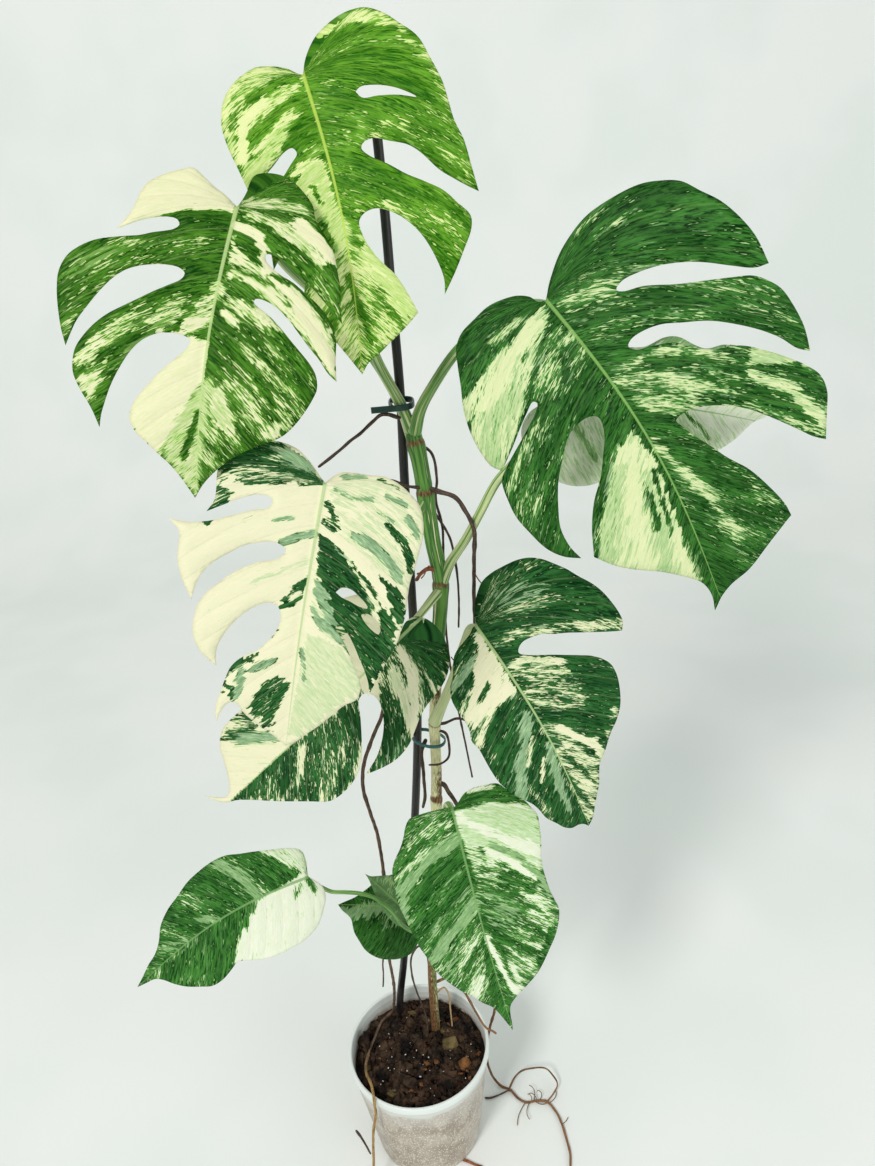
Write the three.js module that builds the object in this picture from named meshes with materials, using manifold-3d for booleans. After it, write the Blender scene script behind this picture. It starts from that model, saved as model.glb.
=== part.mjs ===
import * as THREE from "three";
import { mergeVertices } from "three/addons/utils/BufferGeometryUtils.js";
import Module from "manifold-3d";

const wasm = await Module();
wasm.setup();

// A potted, variegated split-leaf climber. Millimetres, +Z up, the origin is
// the middle of the pot's base, and +Y points away from the side it is seen from.

// The pot
const POT_HEIGHT = 127;
const POT_RIM_RADIUS = 70;
const POT_BASE_RADIUS = 52.5;
const POT_WALL = 1.8;
const POT_FLOOR = 2.4;
const POT_FOOT_RADIUS = 3;
const RIM_BAND_HEIGHT = 9;
const RIM_BAND_DEPTH = 1.6;
const DRAIN_HOLE_RADIUS = 4;
const DRAIN_HOLE_RING = 34;
const DRAIN_HOLE_COUNT = 8;
const DRAIN_HOLE_SIDES = 12;
const POT_SIDES = 40;

// The growing mix
const SOIL_TOP = 112;
const SOIL_CROWN = 4;
const SOIL_BOTTOM = 3;

// Gap kept between two pieces that touch
const SEAT = 0.3;

// Stem, stake and leaf stalks
const STEM_RADIUS = 6;
const STAKE_RADIUS = 4;
const BLADE_THICKNESS = 0.9;
const BLADE_GRID = 14;
const BLADE_GRID_MARGIN = 5;

// Facets of a round stem or root, length of its straight steps, and how much of
// its radius is left at its far end
const STEM_FACETS = { sides: 8, step: 16, taper: 0.85 };
const STAKE_FACETS = { sides: 8, step: 40, taper: 0.8 };
const STALK_FACETS = { sides: 8, step: 14, taper: 0.8 };
const ROOT_FACETS = { sides: 6, step: 12, taper: 0.75 };
const FEWEST_STEPS = 5;

// Every leaf turns its face to the window, here as seen from the pot's base
const WINDOW = new THREE.Vector3(60.7, -600.6, 903.4);

const material = (name, color, roughness) =>
  new THREE.MeshStandardMaterial({ name, color, roughness, metalness: 0 });

const MATERIALS = {
  leaf: material("variegated_leaf", 0x2f6b34, 0.42),
  pale_leaf: material("cream_leaf", 0xe6e4bd, 0.45),
  stalk: material("green_stalk", 0x6f9a45, 0.5),
  root: material("aerial_root", 0x4a3a30, 0.8),
  pale_root: material("soil_root", 0xa8874c, 0.75),
  stake: material("black_stake", 0x1d1a1c, 0.45),
  clip: material("plant_clip", 0x143f38, 0.4),
  twine: material("twist_tie", 0x2f7d85, 0.6),
  pot: material("frosted_pot", 0xe4e2dc, 0.35),
  soil: material("bark_mix", 0x3a2a20, 0.95),
};

/*
 * Leaves. A blade is drawn flat first, as distances in millimetres from the
 * stalk's joint: across the midrib (right is positive) and down it. Each margin
 * runs from one sharp point of the blade to the next, so the right side and the
 * left side each go from the joint to the drip tip. The blade is then bent:
 *   joint, tip   where the two ends of the midrib are
 *   roll         turn about the midrib away from the window, degrees
 *   droop        how much the midrib arches from joint to tip, degrees
 *   bow          sideways sweep of the midrib at its middle
 *   fold, curl   per side [left, right]: rise beside the midrib, degrees, and
 *                backward curl, degrees per 100 mm
 */
const LEAVES = {
  top: {
    joint: [12, -35, 960.9], tip: [27.6, -75, 802.3], roll: 0, droop: 25, bow: 6,
    fold: [15, 10], curl: [25, 15],
    right: [
      [[0, 0], [3, -9], [10, -19], [19, -25], [30, -29], [40, -29], [50, -24], [58, -17],
        [67, -8], [72, 5], [76, 19], [77, 31], [78, 42], [81, 52], [83, 66], [85, 80]],
      [[85, 80], [79, 76], [71, 70], [65, 65], [56, 54], [50, 49], [40, 45], [32, 42],
        [26, 43], [24, 46], [28, 51], [37, 57], [46, 64], [56, 70], [65, 76], [72, 84],
        [78, 92], [77, 99], [71, 109], [64, 120], [56, 131]],
      [[56, 131], [57, 123], [55, 113], [50, 100], [44, 91], [35, 83], [26, 79], [19, 80],
        [15, 84], [16, 93], [21, 104], [30, 116], [35, 127], [39, 138]],
      [[39, 138], [30, 145], [21, 151], [12, 157], [5, 161], [0, 167]],
    ],
    left: [
      [[0, 0], [-3, -1], [-8, -4], [-16, -6], [-25, -6], [-34, -2], [-41, 3], [-47, 11],
        [-50, 22], [-49, 35], [-46, 47], [-43, 59]],
      [[-43, 59], [-35, 55], [-27, 49], [-19, 42], [-14, 40], [-12, 43], [-17, 49],
        [-24, 57], [-30, 67], [-34, 78], [-37, 90], [-38, 102]],
      [[-38, 102], [-32, 95], [-25, 88], [-17, 82], [-11, 82], [-10, 87], [-14, 96],
        [-20, 107], [-24, 117], [-26, 127]],
      [[-26, 127], [-20, 135], [-13, 144], [-7, 154], [0, 167]],
    ],
    holes: [[[27, 16], [30, 14], [39, 15], [50, 19], [60, 26], [50, 23], [39, 21], [30, 20]]],
  },
  left: {
    joint: [-28, -85, 897.6], tip: [-67.9, -135, 755.8], roll: 0, droop: 25, bow: -5,
    fold: [5, 10], curl: [15, 25],
    right: [
      [[0, 0], [2, -4], [4, -10], [5, -16], [7, -20], [11, -22], [18, -23], [25, -22],
        [31, -19], [37, -14], [40, -10], [42, -3], [47, 4], [52, 10], [55, 16], [58, 24],
        [61, 33], [62.5, 41], [65, 50]],
      [[65, 50], [60, 46], [55, 42], [50, 38], [43, 33], [35, 28.5], [28, 24], [22, 22],
        [18.5, 22.5], [19, 26], [23, 29.5], [28, 32], [35, 34.5], [43, 39], [50, 43],
        [56, 48], [60.5, 53], [63, 60], [64, 70], [66, 82]],
      [[66, 82], [61, 79], [55, 73], [48, 67], [41.5, 61], [35, 55], [28, 50], [21, 47.5],
        [16.5, 47.5], [15.5, 49.5], [18, 51.5], [23, 54], [30, 59], [37, 65], [43, 70],
        [50, 76], [54, 81], [56, 88], [55, 93], [52, 101], [47, 110], [41, 117], [33, 122],
        [25, 127], [16, 134], [8, 143], [3, 151], [0, 159]],
    ],
    left: [
      [[0, 0], [-7, -5], [-13, -8], [-19, -12], [-25, -15], [-32, -12], [-39, -8], [-46, -2],
        [-49, 4], [-50.5, 11], [-53, 19], [-57.5, 27.5]],
      [[-57.5, 27.5], [-53, 24.5], [-47, 20.5], [-41, 17.5], [-34, 15], [-29, 15],
        [-27.5, 17.5], [-30, 20.5], [-34, 22.5], [-40, 25], [-46, 28], [-52, 30],
        [-58, 32], [-66, 35], [-73, 39.5], [-79, 46], [-82, 54.5], [-82, 64], [-80.5, 74],
        [-78, 83], [-74.5, 91]],
      [[-74.5, 91], [-73, 84], [-71, 77], [-67, 69], [-62.5, 61], [-57, 53], [-51, 47],
        [-45, 43.5], [-38, 41], [-31, 39.5], [-25, 39.5], [-21.5, 41.5], [-22.5, 45],
        [-29, 50], [-36, 55], [-42.5, 60], [-49, 65], [-56, 70.5], [-62, 77], [-66.5, 84],
        [-69.5, 91], [-70, 97], [-69, 104], [-65, 111.5], [-59, 120], [-53.5, 129.5]],
      [[-53.5, 129.5], [-53.5, 123], [-52.5, 116.5], [-50.5, 107], [-47.5, 98], [-42.5, 87],
        [-37.5, 80.5], [-31, 76], [-24, 74], [-18, 74], [-14, 75.5], [-15, 80], [-20.5, 87],
        [-26, 93.5], [-31, 101], [-36, 109], [-39, 116.5], [-39, 122.5], [-35, 128.5],
        [-29, 133], [-22.5, 138], [-15.5, 143], [-9, 149], [-4, 154.5], [0, 159]],
    ],
    holes: [],
  },
  right: {
    joint: [138.9, -70, 833], tip: [228.6, -130, 662.9], roll: 0, droop: 25, bow: 10,
    fold: [8, 8], curl: [15, 10],
    right: [
      [[0, 0], [8, -9], [19, -18], [29, -23], [42, -27], [57, -27], [75, -24], [85, -19],
        [94, -12], [100, -1], [106, 10], [110, 23], [112, 36], [111, 52]],
      [[111, 52], [104, 50], [94, 42], [85, 34], [77, 28], [64, 21], [51, 17], [41, 16],
        [36, 18.5], [39, 21.5], [49, 25], [57, 29.5], [65, 34.5], [79, 41.5], [92, 48],
        [101, 53], [106, 59], [110, 67], [111, 77], [110, 90], [106, 104]],
      [[106, 104], [101, 99], [96.5, 90], [90, 81], [81, 71.5], [70, 62], [57, 54.5],
        [47, 49], [36, 46.5], [29, 47], [26, 49.5], [29, 53.5], [36, 56], [49, 62],
        [55, 69], [64, 76], [77, 82], [87, 91.5], [95, 101], [101, 109.5], [105, 118],
        [104.5, 128], [99, 139], [92, 151]],
      [[92, 151], [87, 146], [81, 137], [72, 124], [64, 114], [53, 105], [42, 99.5],
        [34, 98], [28, 99.5], [29, 103], [32, 111], [37, 121], [42, 132], [49, 144],
        [54, 159], [57, 173], [57, 181]],
      [[57, 181], [49, 185], [36, 191], [21, 199], [8, 203], [1, 206.5], [-7, 213]],
    ],
    left: [
      [[0, 0], [-4, -1], [-7, -7], [-13, -12], [-22, -15], [-31, -16], [-41, -14],
        [-52, -11], [-59, -5], [-63, 4], [-68, 17], [-73, 28], [-77, 43], [-78, 56],
        [-77, 66], [-73, 72]],
      [[-73, 72], [-66, 67.5], [-58, 62], [-50, 56], [-42, 50.5], [-36, 47], [-34, 49],
        [-38, 53.5], [-46, 58.5], [-53, 62.5], [-61, 66.8], [-69, 71.4], [-76, 77], [-79, 90],
        [-79.5, 100], [-77, 112], [-73, 127], [-67, 136], [-59, 142]],
      [[-59, 142], [-61, 133], [-60, 120], [-54, 107], [-46, 94], [-37, 84], [-29, 76],
        [-20, 72], [-12, 72], [-8, 75], [-10, 85], [-16, 94], [-24, 105], [-35, 116],
        [-44, 129], [-52, 145]],
      [[-52, 145], [-44, 155], [-33, 165], [-22, 174], [-11, 185], [-5, 193], [-4, 203],
        [-7, 213]],
    ],
    holes: [],
  },
  behind_right: {
    joint: [146, -20, 761], tip: [282, -50, 741], roll: 15, droop: 20, bow: 3,
    fold: [5, 5], curl: [15, 15],
    right: [
      [[0, 0], [3, -10], [12, -17], [25, -14], [34, 0], [38, 20], [40, 40], [41, 58],
        [48, 70], [49, 78], [45, 90], [44, 98], [48, 108], [48.5, 116], [46, 126],
        [36, 133], [20, 138], [4, 141]],
    ],
    left: [
      [[0, 0], [-8, -12], [-22, -16], [-38, -8], [-50, 5], [-55, 20], [-54.5, 32],
        [-50, 45], [-46, 60], [-41, 75], [-34, 92], [-24, 110], [-14, 122], [0, 134],
        [4, 141]],
    ],
    holes: [],
  },
  middle: {
    joint: [2, -120, 750.5], tip: [-35.3, -170, 613.9], roll: 0, droop: 30, bow: -1.5,
    fold: [10, 10], curl: [15, 30],
    right: [
      [[0, 0], [4, -4.5], [8.5, -7.5], [16, -8.5], [25, -8.5], [33, -9], [39, -7.5],
        [45, -4.5], [51, 0], [55.5, 4.5], [58.5, 12], [60, 21], [59.5, 31.5], [58.5, 41],
        [57, 48], [56.5, 57], [56.5, 66], [55.5, 76], [54, 86], [51, 95], [48, 103],
        [45.5, 110], [42.5, 118]],
      [[42.5, 118], [42, 112], [38.5, 104], [34, 96.5], [29.5, 89], [25, 83], [21, 79.5],
        [18.5, 79], [18, 81.5], [20.5, 84.5], [25, 90], [29.5, 97.5], [34, 105], [37, 111],
        [37.5, 116], [36, 121], [30, 125.5], [24, 133], [16, 142], [10, 148], [5.5, 153],
        [0, 157]],
    ],
    left: [
      [[0, 0], [-2.5, -2.5], [-6.5, -7], [-11, -11.5], [-17, -16], [-23, -18], [-29, -18.5],
        [-37, -18], [-44, -15.5], [-50, -12], [-55.5, -7.5], [-59, -2], [-60, 5],
        [-59, 13.5], [-59, 21], [-62, 27.5]],
      [[-62, 27.5], [-57, 24.5], [-52, 21.5], [-46, 18], [-40, 15], [-34, 13.5], [-29, 14],
        [-27.5, 16.5], [-29.5, 20], [-37, 22.5], [-44, 25.5], [-50.5, 28.5], [-56, 31],
        [-62, 33], [-70, 34.5], [-76, 34.5], [-82, 34]],
      [[-82, 34], [-78, 37], [-74.5, 41], [-74, 48], [-73.5, 55], [-71.5, 62], [-68, 69],
        [-63, 76]],
      [[-63, 76], [-62.5, 70], [-60.5, 63], [-57, 57], [-52, 52], [-45.5, 47], [-40, 43],
        [-33.5, 40.5], [-26, 38.5], [-19.5, 39], [-16, 41.5], [-17.5, 45], [-22, 48],
        [-29, 50], [-37, 54], [-44.5, 59.5], [-51, 66], [-56, 71.5], [-59.5, 78.5],
        [-60.5, 86], [-60, 93.5], [-56.5, 101.5], [-51.5, 107], [-45, 111.5]],
      [[-45, 111.5], [-46, 105.5], [-45.5, 99], [-42, 90.5], [-37, 83], [-31, 77],
        [-24.5, 73], [-19.5, 72], [-15.5, 74], [-13.5, 78.5], [-13.5, 83], [-15.5, 89],
        [-19.5, 95], [-24, 100], [-29, 103], [-33.5, 106.5], [-37, 111], [-39, 117],
        [-40.5, 124], [-42, 131], [-42.5, 137], [-41, 143.5]],
      [[-41, 143.5], [-39.5, 138], [-37, 133], [-33.5, 131], [-30, 133], [-26, 138],
        [-20, 143], [-13, 148], [-7, 151.5], [0, 157]],
    ],
    holes: [
      [[15, 61], [18, 58], [23, 58], [28, 61], [33, 65], [34.5, 67.5], [29, 67], [24, 65],
        [19, 63.5]],
      [[31, 71.5], [35, 70.5], [40, 73.5], [43.5, 78], [43, 81.5], [38, 79], [33.5, 75]],
    ],
  },
  behind_middle: {
    joint: [28.7, -45, 604.6], tip: [-98.6, -100, 518.8], roll: 0, droop: 25, bow: 1,
    fold: [5, 8], curl: [20, 20],
    right: [
      [[0, 0], [-3, -6], [-5.5, -13], [-4, -21], [2, -26], [8, -27.5], [18, -27], [28, -23],
        [36, -17], [42, -9], [45.5, 0], [47, 10], [48.5, 20], [51, 28], [54.5, 36],
        [58, 44], [59.5, 52], [59.5, 60], [57.5, 69], [55, 76], [52.5, 82]],
      [[52.5, 82], [51, 75], [48.5, 67], [43.5, 58], [36, 49], [28, 43], [20, 40],
        [14, 41], [10.5, 45], [12, 50.5], [20, 56.5], [28, 63], [36, 70], [43, 77],
        [47.5, 84], [50, 92], [50.5, 102], [48, 112], [40, 121], [30, 132], [20, 142],
        [10, 152], [3, 160], [-1, 167], [-7, 172], [-15, 175.5]],
    ],
    left: [
      [[0, 0], [-7, -7], [-15, -14], [-26, -16], [-38, -9], [-48, 6], [-53, 25],
        [-55, 45], [-54, 65], [-50, 85], [-45, 100], [-41, 112], [-41, 121], [-40.5, 130],
        [-38, 136], [-32, 143], [-22, 148.5], [-12, 154], [-6, 159], [-4, 164],
        [-8, 169.5], [-15, 175.5]],
    ],
    holes: [],
  },
  right_low: {
    joint: [85.1, -50, 612.7], tip: [155, -100, 465], roll: 0, droop: 25, bow: 6,
    fold: [5, 5], curl: [20, 15],
    right: [
      [[0, 0], [0.5, -2], [3.5, -8.5], [8.5, -16], [14.5, -22], [19.5, -25.5], [28, -27.5],
        [38.5, -27.5], [49, -26.5], [57.5, -23.5], [64.5, -18.5], [71, -11], [76.5, -4],
        [81.5, 4.5], [87.5, 14], [91, 22.5], [93, 33], [93.5, 41.5], [92.5, 48], [88.5, 53.5]],
      [[88.5, 53.5], [84, 51.5], [78, 48.5], [69.5, 44], [61, 39.5], [52.5, 35],
        [45.5, 32], [38.5, 28], [30, 26], [23, 26], [18.5, 28.5], [17, 31.5], [21.5, 35.5],
        [28.5, 39.5], [37, 44], [45.5, 49], [54, 54], [61, 58.5], [67, 64.5], [70.5, 71.5],
        [70, 81], [66, 91], [61, 99.5], [54, 107.5], [47, 113.5], [41, 119.5], [37, 123.5],
        [32.5, 127], [28.5, 130.5], [25, 136.5], [21.5, 143.5], [16.5, 150.5], [11, 158],
        [6, 165], [0, 170]],
    ],
    left: [
      [[0, 0], [-2, -0.5], [-6, 2.5], [-13, 5.5], [-19.5, 8], [-24.5, 11.5], [-28, 16.5],
        [-31.5, 22.5], [-37, 28.5], [-40.5, 36], [-41, 45], [-40, 53], [-40.5, 62],
        [-43, 70], [-41.5, 77.5], [-41.5, 86], [-41.5, 94.5], [-40.5, 105], [-38.5, 111.5],
        [-36, 118.5], [-31, 127], [-27.5, 133], [-25.5, 139], [-24, 147], [-19.5, 154.5],
        [-15.5, 161.5], [-11, 165], [-6, 165], [-2.5, 166.5], [0, 170]],
    ],
    holes: [],
  },
  heart: {
    joint: [55.9, -60, 462.1], tip: [87.2, -120, 289.7], roll: 0, droop: 25, bow: -1.5,
    fold: [8, 8], curl: [20, 20],
    right: [
      [[0, 0], [2.5, -0.5], [6, -3], [11, -7.5], [18, -10], [28.5, -10], [39, -8.5],
        [44, -3], [49, 2.5], [55, 8.5], [59, 15.5], [62, 21.5], [62, 28.5], [61, 37],
        [59.5, 45], [57, 54], [55.5, 63], [55.5, 72], [56, 80], [57.5, 88], [59, 95],
        [58.5, 101.5], [55, 112], [50.5, 120], [44.5, 127], [37.5, 135], [30.5, 143],
        [23.5, 149.5], [14.5, 156.5], [7.5, 161.5], [3.5, 166], [1.5, 174], [1, 182],
        [0, 190]],
    ],
    left: [
      [[0, 0], [-2, -1], [-6.5, -1.5], [-15, -2], [-25.5, -2], [-34, -1], [-38.5, 4],
        [-42, 11], [-46.5, 18], [-52.5, 25], [-56.5, 32], [-58, 41], [-59, 49.5],
        [-59, 60], [-57, 72], [-55, 82.5], [-52.5, 93], [-49, 103.5], [-47, 112],
        [-43, 122.5], [-37.5, 131.5], [-30.5, 140], [-23.5, 147], [-17, 156],
        [-10.5, 163], [-7, 170], [-3.5, 179.5], [-1, 187], [0, 190]],
    ],
    holes: [],
  },
  low_left: {
    joint: [-61, -70, 416], tip: [-186, -130, 382], roll: 0, droop: 30, bow: -9,
    fold: [10, 0], curl: [20, 25],
    right: [
      [[0, 0], [4, -2.5], [11, -6], [19, -5], [28, 2], [36, 12], [39, 25], [38, 38],
        [35.5, 53], [31.5, 62.5], [27, 70], [24.5, 75], [26.5, 81], [29, 89], [29, 98],
        [25, 106], [19.5, 114.5], [13, 121], [5.5, 127], [2, 131.5], [1, 138], [0, 145.5]],
    ],
    left: [
      [[0, 0], [-4, -1], [-9.5, -3.5], [-19, -5], [-23.5, -2], [-27, 3], [-30, 8.5],
        [-34, 17], [-38.5, 26.5], [-43.5, 38], [-47.5, 46.5], [-49, 57], [-48, 68],
        [-45.5, 79.5], [-40.5, 90], [-36, 100], [-28.5, 110], [-19, 117], [-13, 123.5],
        [-9.5, 130.5], [-4.5, 138], [0, 145.5]],
    ],
    holes: [],
  },
  small_curled: {
    joint: [13, -45, 341], tip: [-19, -55, 400], roll: 180, droop: 15, bow: 0,
    fold: [5, 5], curl: [15, 15],
    right: [
      [[0, 0], [6, -5], [13, -5], [19, 1], [21.5, 12], [20.5, 24], [16.5, 36], [10.5, 47],
        [5, 55], [1.5, 61], [0, 68]],
    ],
    left: [
      [[0, 0], [-5, -4], [-10, -3], [-13, 2], [-14, 10], [-13, 20], [-11, 30], [-8, 41],
        [-4.5, 51], [-1.5, 60], [0, 68]],
    ],
    holes: [],
  },
  small_dark: {
    joint: [19, -20, 318], tip: [-45, -55, 370], roll: 0, droop: 25, bow: -2,
    fold: [5, 5], curl: [25, 30],
    right: [
      [[0, 0], [8, -5], [18, -4], [26, 0], [32, 5.5], [36, 12.5], [39, 22.5], [39.5, 32.5],
        [39, 42.5], [37, 51], [32.5, 60], [26, 67.5], [20, 72.5], [15, 74.5], [10.5, 76.5],
        [7.5, 80], [4, 86], [0, 90]],
    ],
    left: [
      [[0, 0], [-12, -5], [-24, 2], [-30, 14], [-31, 28], [-28, 42], [-22, 55], [-14, 66],
        [-9, 72.5], [-6, 77.5], [-3, 84], [0, 90]],
    ],
    holes: [],
  },
};

/*
 * Stalks, each from its node on the stem to just behind its blade, or with
 * onFace, to just above it. The last point is left to the blade's own joint.
 */
const STALKS = {
  top: { radius: 3.6, path: [[53, -9, 745], [48, -12, 764], [34, -14, 799], [24, -10, 840],
    [17, -6, 890], [12, -8, 935], [11, -20, 958]] },
  left: { radius: 3.2, path: [[53, -5, 738], [46, -3, 764], [32, -4, 796], [10, -8, 830],
    [-14, -30, 862], [-26, -58, 890]] },
  right: { radius: 3.8, path: [[54, -12, 744], [60, -15, 762], [69, -19, 777], [88, -24, 801],
    [110, -30, 817], [128, -42, 827]] },
  behind_right: { radius: 3.6, path: [[63, -10, 628], [71, -12, 646], [84, -12, 664],
    [96, -12, 684], [109, -11, 705], [124, -10, 720], [138, -12, 739]] },
  middle: { radius: 3.2, path: [[58, -10, 698], [46, -22, 686], [30, -44, 686], [14, -74, 704],
    [4, -98, 732]] },
  behind_middle: { radius: 3, path: [[63, -12, 627], [52, -20, 618], [38, -28, 606]] },
  right_low: { radius: 4.2, path: [[47, -12, 508], [55, -18, 528], [66, -25, 556],
    [76, -32, 588], [82, -38, 604]] },
  heart: { radius: 3.2, path: [[38, -4, 374], [41, -16, 400], [47, -32, 430], [53, -46, 454]] },
  low_left: { radius: 1.9, path: [[30, 0, 276], [24, -26, 299], [16, -42, 317], [8, -52, 334],
    [3, -58, 349], [-3, -60, 365], [-13, -61, 379], [-23, -64, 388], [-35, -66, 393], [-46, -67, 396],
    [-54, -67, 402]] },
  small_curled: { radius: 1.6, onFace: true, path: [[25, 2, 244], [31, -12, 276],
    [28, -22, 308], [18, -34, 337]] },
  small_dark: { radius: 1.6, path: [[24, 3, 236], [23, -3, 262], [21, -8, 292],
    [19.5, -14, 308]] },
};

// The climbing stem, from inside the mix to the newest node
const STEM = [[15, 26, 84], [17, 24, 112], [19, 14, 167], [22, 6, 224], [31, 0, 311],
  [38, -4, 372], [43, -7, 429], [46, -9, 466], [48, -10, 506], [56, -10, 574],
  [63, -10, 631], [60, -10, 665], [58, -10, 700], [56, -10, 726], [53, -9, 748]];

// The support stake, bowed by the weight it holds
const STAKE = [[-20, 45, 30], [-20, 49, 112], [-7, 36, 201], [13, 20, 332], [22, 12, 396],
  [32, 4, 481], [36, 1, 526], [41, 1, 631], [44, 2, 710], [47, 3, 767], [48, 4, 833],
  [49, 4, 887], [49, 4, 940]];

/*
 * Aerial roots, each from where it leaves the stem. Those that end between
 * 80 and 115 high go into the mix, and the last ones lie on the ground.
 */
const ROOTS = {
  root_clip: { radius: 1.3, path: [[46, -13, 757], [38, -15, 761], [33, -15, 761],
    [27, -15, 757], [18, -15, 750], [10, -15, 745], [3, -16, 740], [-14, -16, 729]] },
  root_over_leaf: { radius: 1.1, path: [[57, -12, 706], [46, -20, 711], [36, -26, 718],
    [24, -32, 722], [13, -40, 722]] },
  root_arch: { radius: 1.7, path: [[60, -12, 706], [68, -15, 703], [78, -17, 699],
    [85, -18, 688], [90, -18, 674], [89, -16, 652], [87, -14, 622], [86, -10, 590]] },
  root_right_long: { radius: 1, path: [[57, -6, 736], [65, -4, 728], [67, -3, 709],
    [65, -2, 694], [68, 2, 670], [67, 6, 645], [65, 8, 611], [64, 8, 575], [66, 7, 530],
    [71, 6, 480], [75, 4, 440]] },
  root_right_short: { radius: 1, path: [[60, -6, 690], [67, -2, 676], [73, 2, 660],
    [76, 6, 633], [76, 9, 606], [74, 10, 581]] },
  root_red: { radius: 1.6, path: [[61, -12, 642], [55, -15, 645], [49, -12, 640],
    [45, -6, 632]] },
  root_node_right: { radius: 1.2, path: [[48, -10, 507], [56, -12, 508], [66, -13, 512],
    [73, -14, 510], [77, -14, 504]] },
  root_node_hook: { radius: 1.1, path: [[50, -12, 502], [56, -14, 500], [58, -16, 486],
    [56, -18, 478], [49, -19, 474], [40, -19, 474]] },
  root_stem_left: { radius: 1.6, path: [[40, -8, 492], [35.5, -12, 484], [35, -12, 466],
    [34.5, -10, 452], [34, -10, 436], [31, -10, 424]] },
  root_bud: { radius: 2, path: [[42, -7, 446], [50, -9, 446], [54, -10, 438], [60, -10, 424],
    [64, -8, 408]] },
  root_left_hanging: { radius: 1.6, path: [[54, -9, 566], [30, -8, 556], [15, -10, 540],
    [6, -12, 518], [-3, -13, 500], [-12, -14, 478], [-16, -12, 454], [-14, -8, 425],
    [-11, -2, 394], [-11, 2, 340], [-15, 8, 280], [-18, 10, 231], [-17, 9, 205],
    [-22, 28, 152], [-29, 46, 116], [-38, 38, 115.5], [-45, 20, 115.5], [-51, 2, 116],
    [-53, -14, 119], [-51, -28, 124], [-47, -39, 130], [-44.5, -47, 132],
    [-43, -54, 131.5], [-42.5, -59, 127], [-42.5, -61, 114], [-45, -61, 102],
    [-48, -61, 87], [-51, -61, 60], [-54, -61, 30], [-57, -60, 8], [-62, -62, 1.9],
    [-72, -66, 1.9]] },
  root_left_thin: { radius: 0.9, path: [[-16, 10, 262], [-20, 12, 250], [-25, 12, 226],
    [-26, 11, 211], [-28, 10, 196]] },
  root_stem_side: { radius: 1, path: [[20, 8, 232], [12, 13, 242], [3, 15, 228],
    [1, 15, 203], [3, 16, 181], [6, 18, 160], [9, 20, 138], [9, 20, 112], [9, 20, 96]] },
  root_right_rim: { radius: 1.3, path: [[22, 10, 196], [38, 22, 186], [50, 24, 162],
    [58, 17, 146], [64, 11, 135], [69, 6, 130], [74, 4, 128.5], [78, 3, 125]] },
  root_pale: { radius: 0.9, path: [[22, 12, 178], [30, 20, 176], [34, 22, 164],
    [34, 24, 138], [34, 25, 112], [34, 25, 98]] },
  root_floor: { radius: 1.5, path: [[24, 8, 214], [38, 22, 210], [58, 36, 186],
    [74, 44, 150], [80, 46, 122], [79, 46, 104], [73, 47, 80], [68, 46, 51], [67, 43, 30],
    [72, 39, 10], [80, 34, 1.7], [89, 29, 1.7], [95, 20, 1.7], [104, 13.5, 1.7],
    [116, 14, 1.7], [126, 12, 1.7], [134, 0, 1.7], [138, -14, 1.7], [140, -30, 1.7],
    [141, -44, 1.7], [139, -58, 1.7]] },
  root_floor_loop: { radius: 1, path: [[88, 30, 3], [94, 37, 8], [102, 41, 13],
    [114, 41.5, 16], [129, 40, 16], [135, 36, 12], [140, 27, 7], [134, 19, 3.5],
    [127, 13, 1.6]] },
  root_floor_stub: { radius: 1, path: [[60.5, 23, 1.2], [66, 22.5, 1.2], [74, 24, 1.3],
    [88, 29, 1.6]] },
  root_under_pot: { radius: 1.3, path: [[32, -40, 1.5], [37, -42, 1.5], [44, -46, 1.5],
    [52, -49, 1.5]] },
  root_side_twig: { radius: 1.1, path: [[-65, -56, 86], [-60, -58, 75], [-54, -61, 56]] },
};

// Bark pieces that lie on the mix: centre, half sizes, and turn about Z in degrees
const BARK = {
  bark_slab: { centre: [-53, 14, 117], half: [2.5, 9, 8], turn: 12 },
  bark_by_stem: { centre: [31, 4, 115.5], half: [8, 6, 4], turn: 20 },
  bark_front: { centre: [-10, -34, 116], half: [7, 5, 3.5], turn: -25 },
  bark_right: { centre: [44, -18, 114], half: [6, 5, 3.5], turn: 40 },
};

// The clip's strap, with its tail at the left, and the wire tie lower down
const CLIP = {
  outer: [[27, -18], [49, -18], [55, -13], [56.4, -4], [53, 9.4], [41, 9.6], [38.6, -5],
    [41, -16.7], [27, -16.5]],
  inner: [[42.6, -16.4], [48.6, -16.5], [53.6, -12.4], [55, -4], [52, 8], [42.2, 8.2],
    [40, -5]],
  level: 763,
  height: 4.5,
};
const TWIST_TIE = {
  outer: [[27, 0], [30, -8], [42, -18], [52, -18], [56, -10], [52, -1], [40, 8], [31, 8]],
  inner: [[28.8, 0], [31, -7], [42.6, -16.4], [51.4, -16.4], [54.4, -10], [50.8, -2],
    [39.4, 6.4], [31.8, 6.4]],
  level: 489,
  height: 3,
};

const radians = THREE.MathUtils.degToRad;

// Closed mesh as a solid for cuts and joins
function solidOf(geometry) {
  const bare = geometry.clone();
  bare.deleteAttribute("normal");
  bare.deleteAttribute("uv");
  const merged = mergeVertices(bare, 1e-3);
  return new wasm.Manifold(
    new wasm.Mesh({
      numProp: 3,
      vertProperties: merged.getAttribute("position").array,
      triVerts: new Uint32Array(merged.index.array),
    }),
  );
}

function geometryOf(solid) {
  const mesh = solid.getMesh();
  const geometry = new THREE.BufferGeometry();
  geometry.setAttribute("position", new THREE.BufferAttribute(mesh.vertProperties, 3));
  geometry.setIndex(new THREE.BufferAttribute(mesh.triVerts, 1));
  geometry.computeVertexNormals();
  return geometry;
}

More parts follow.
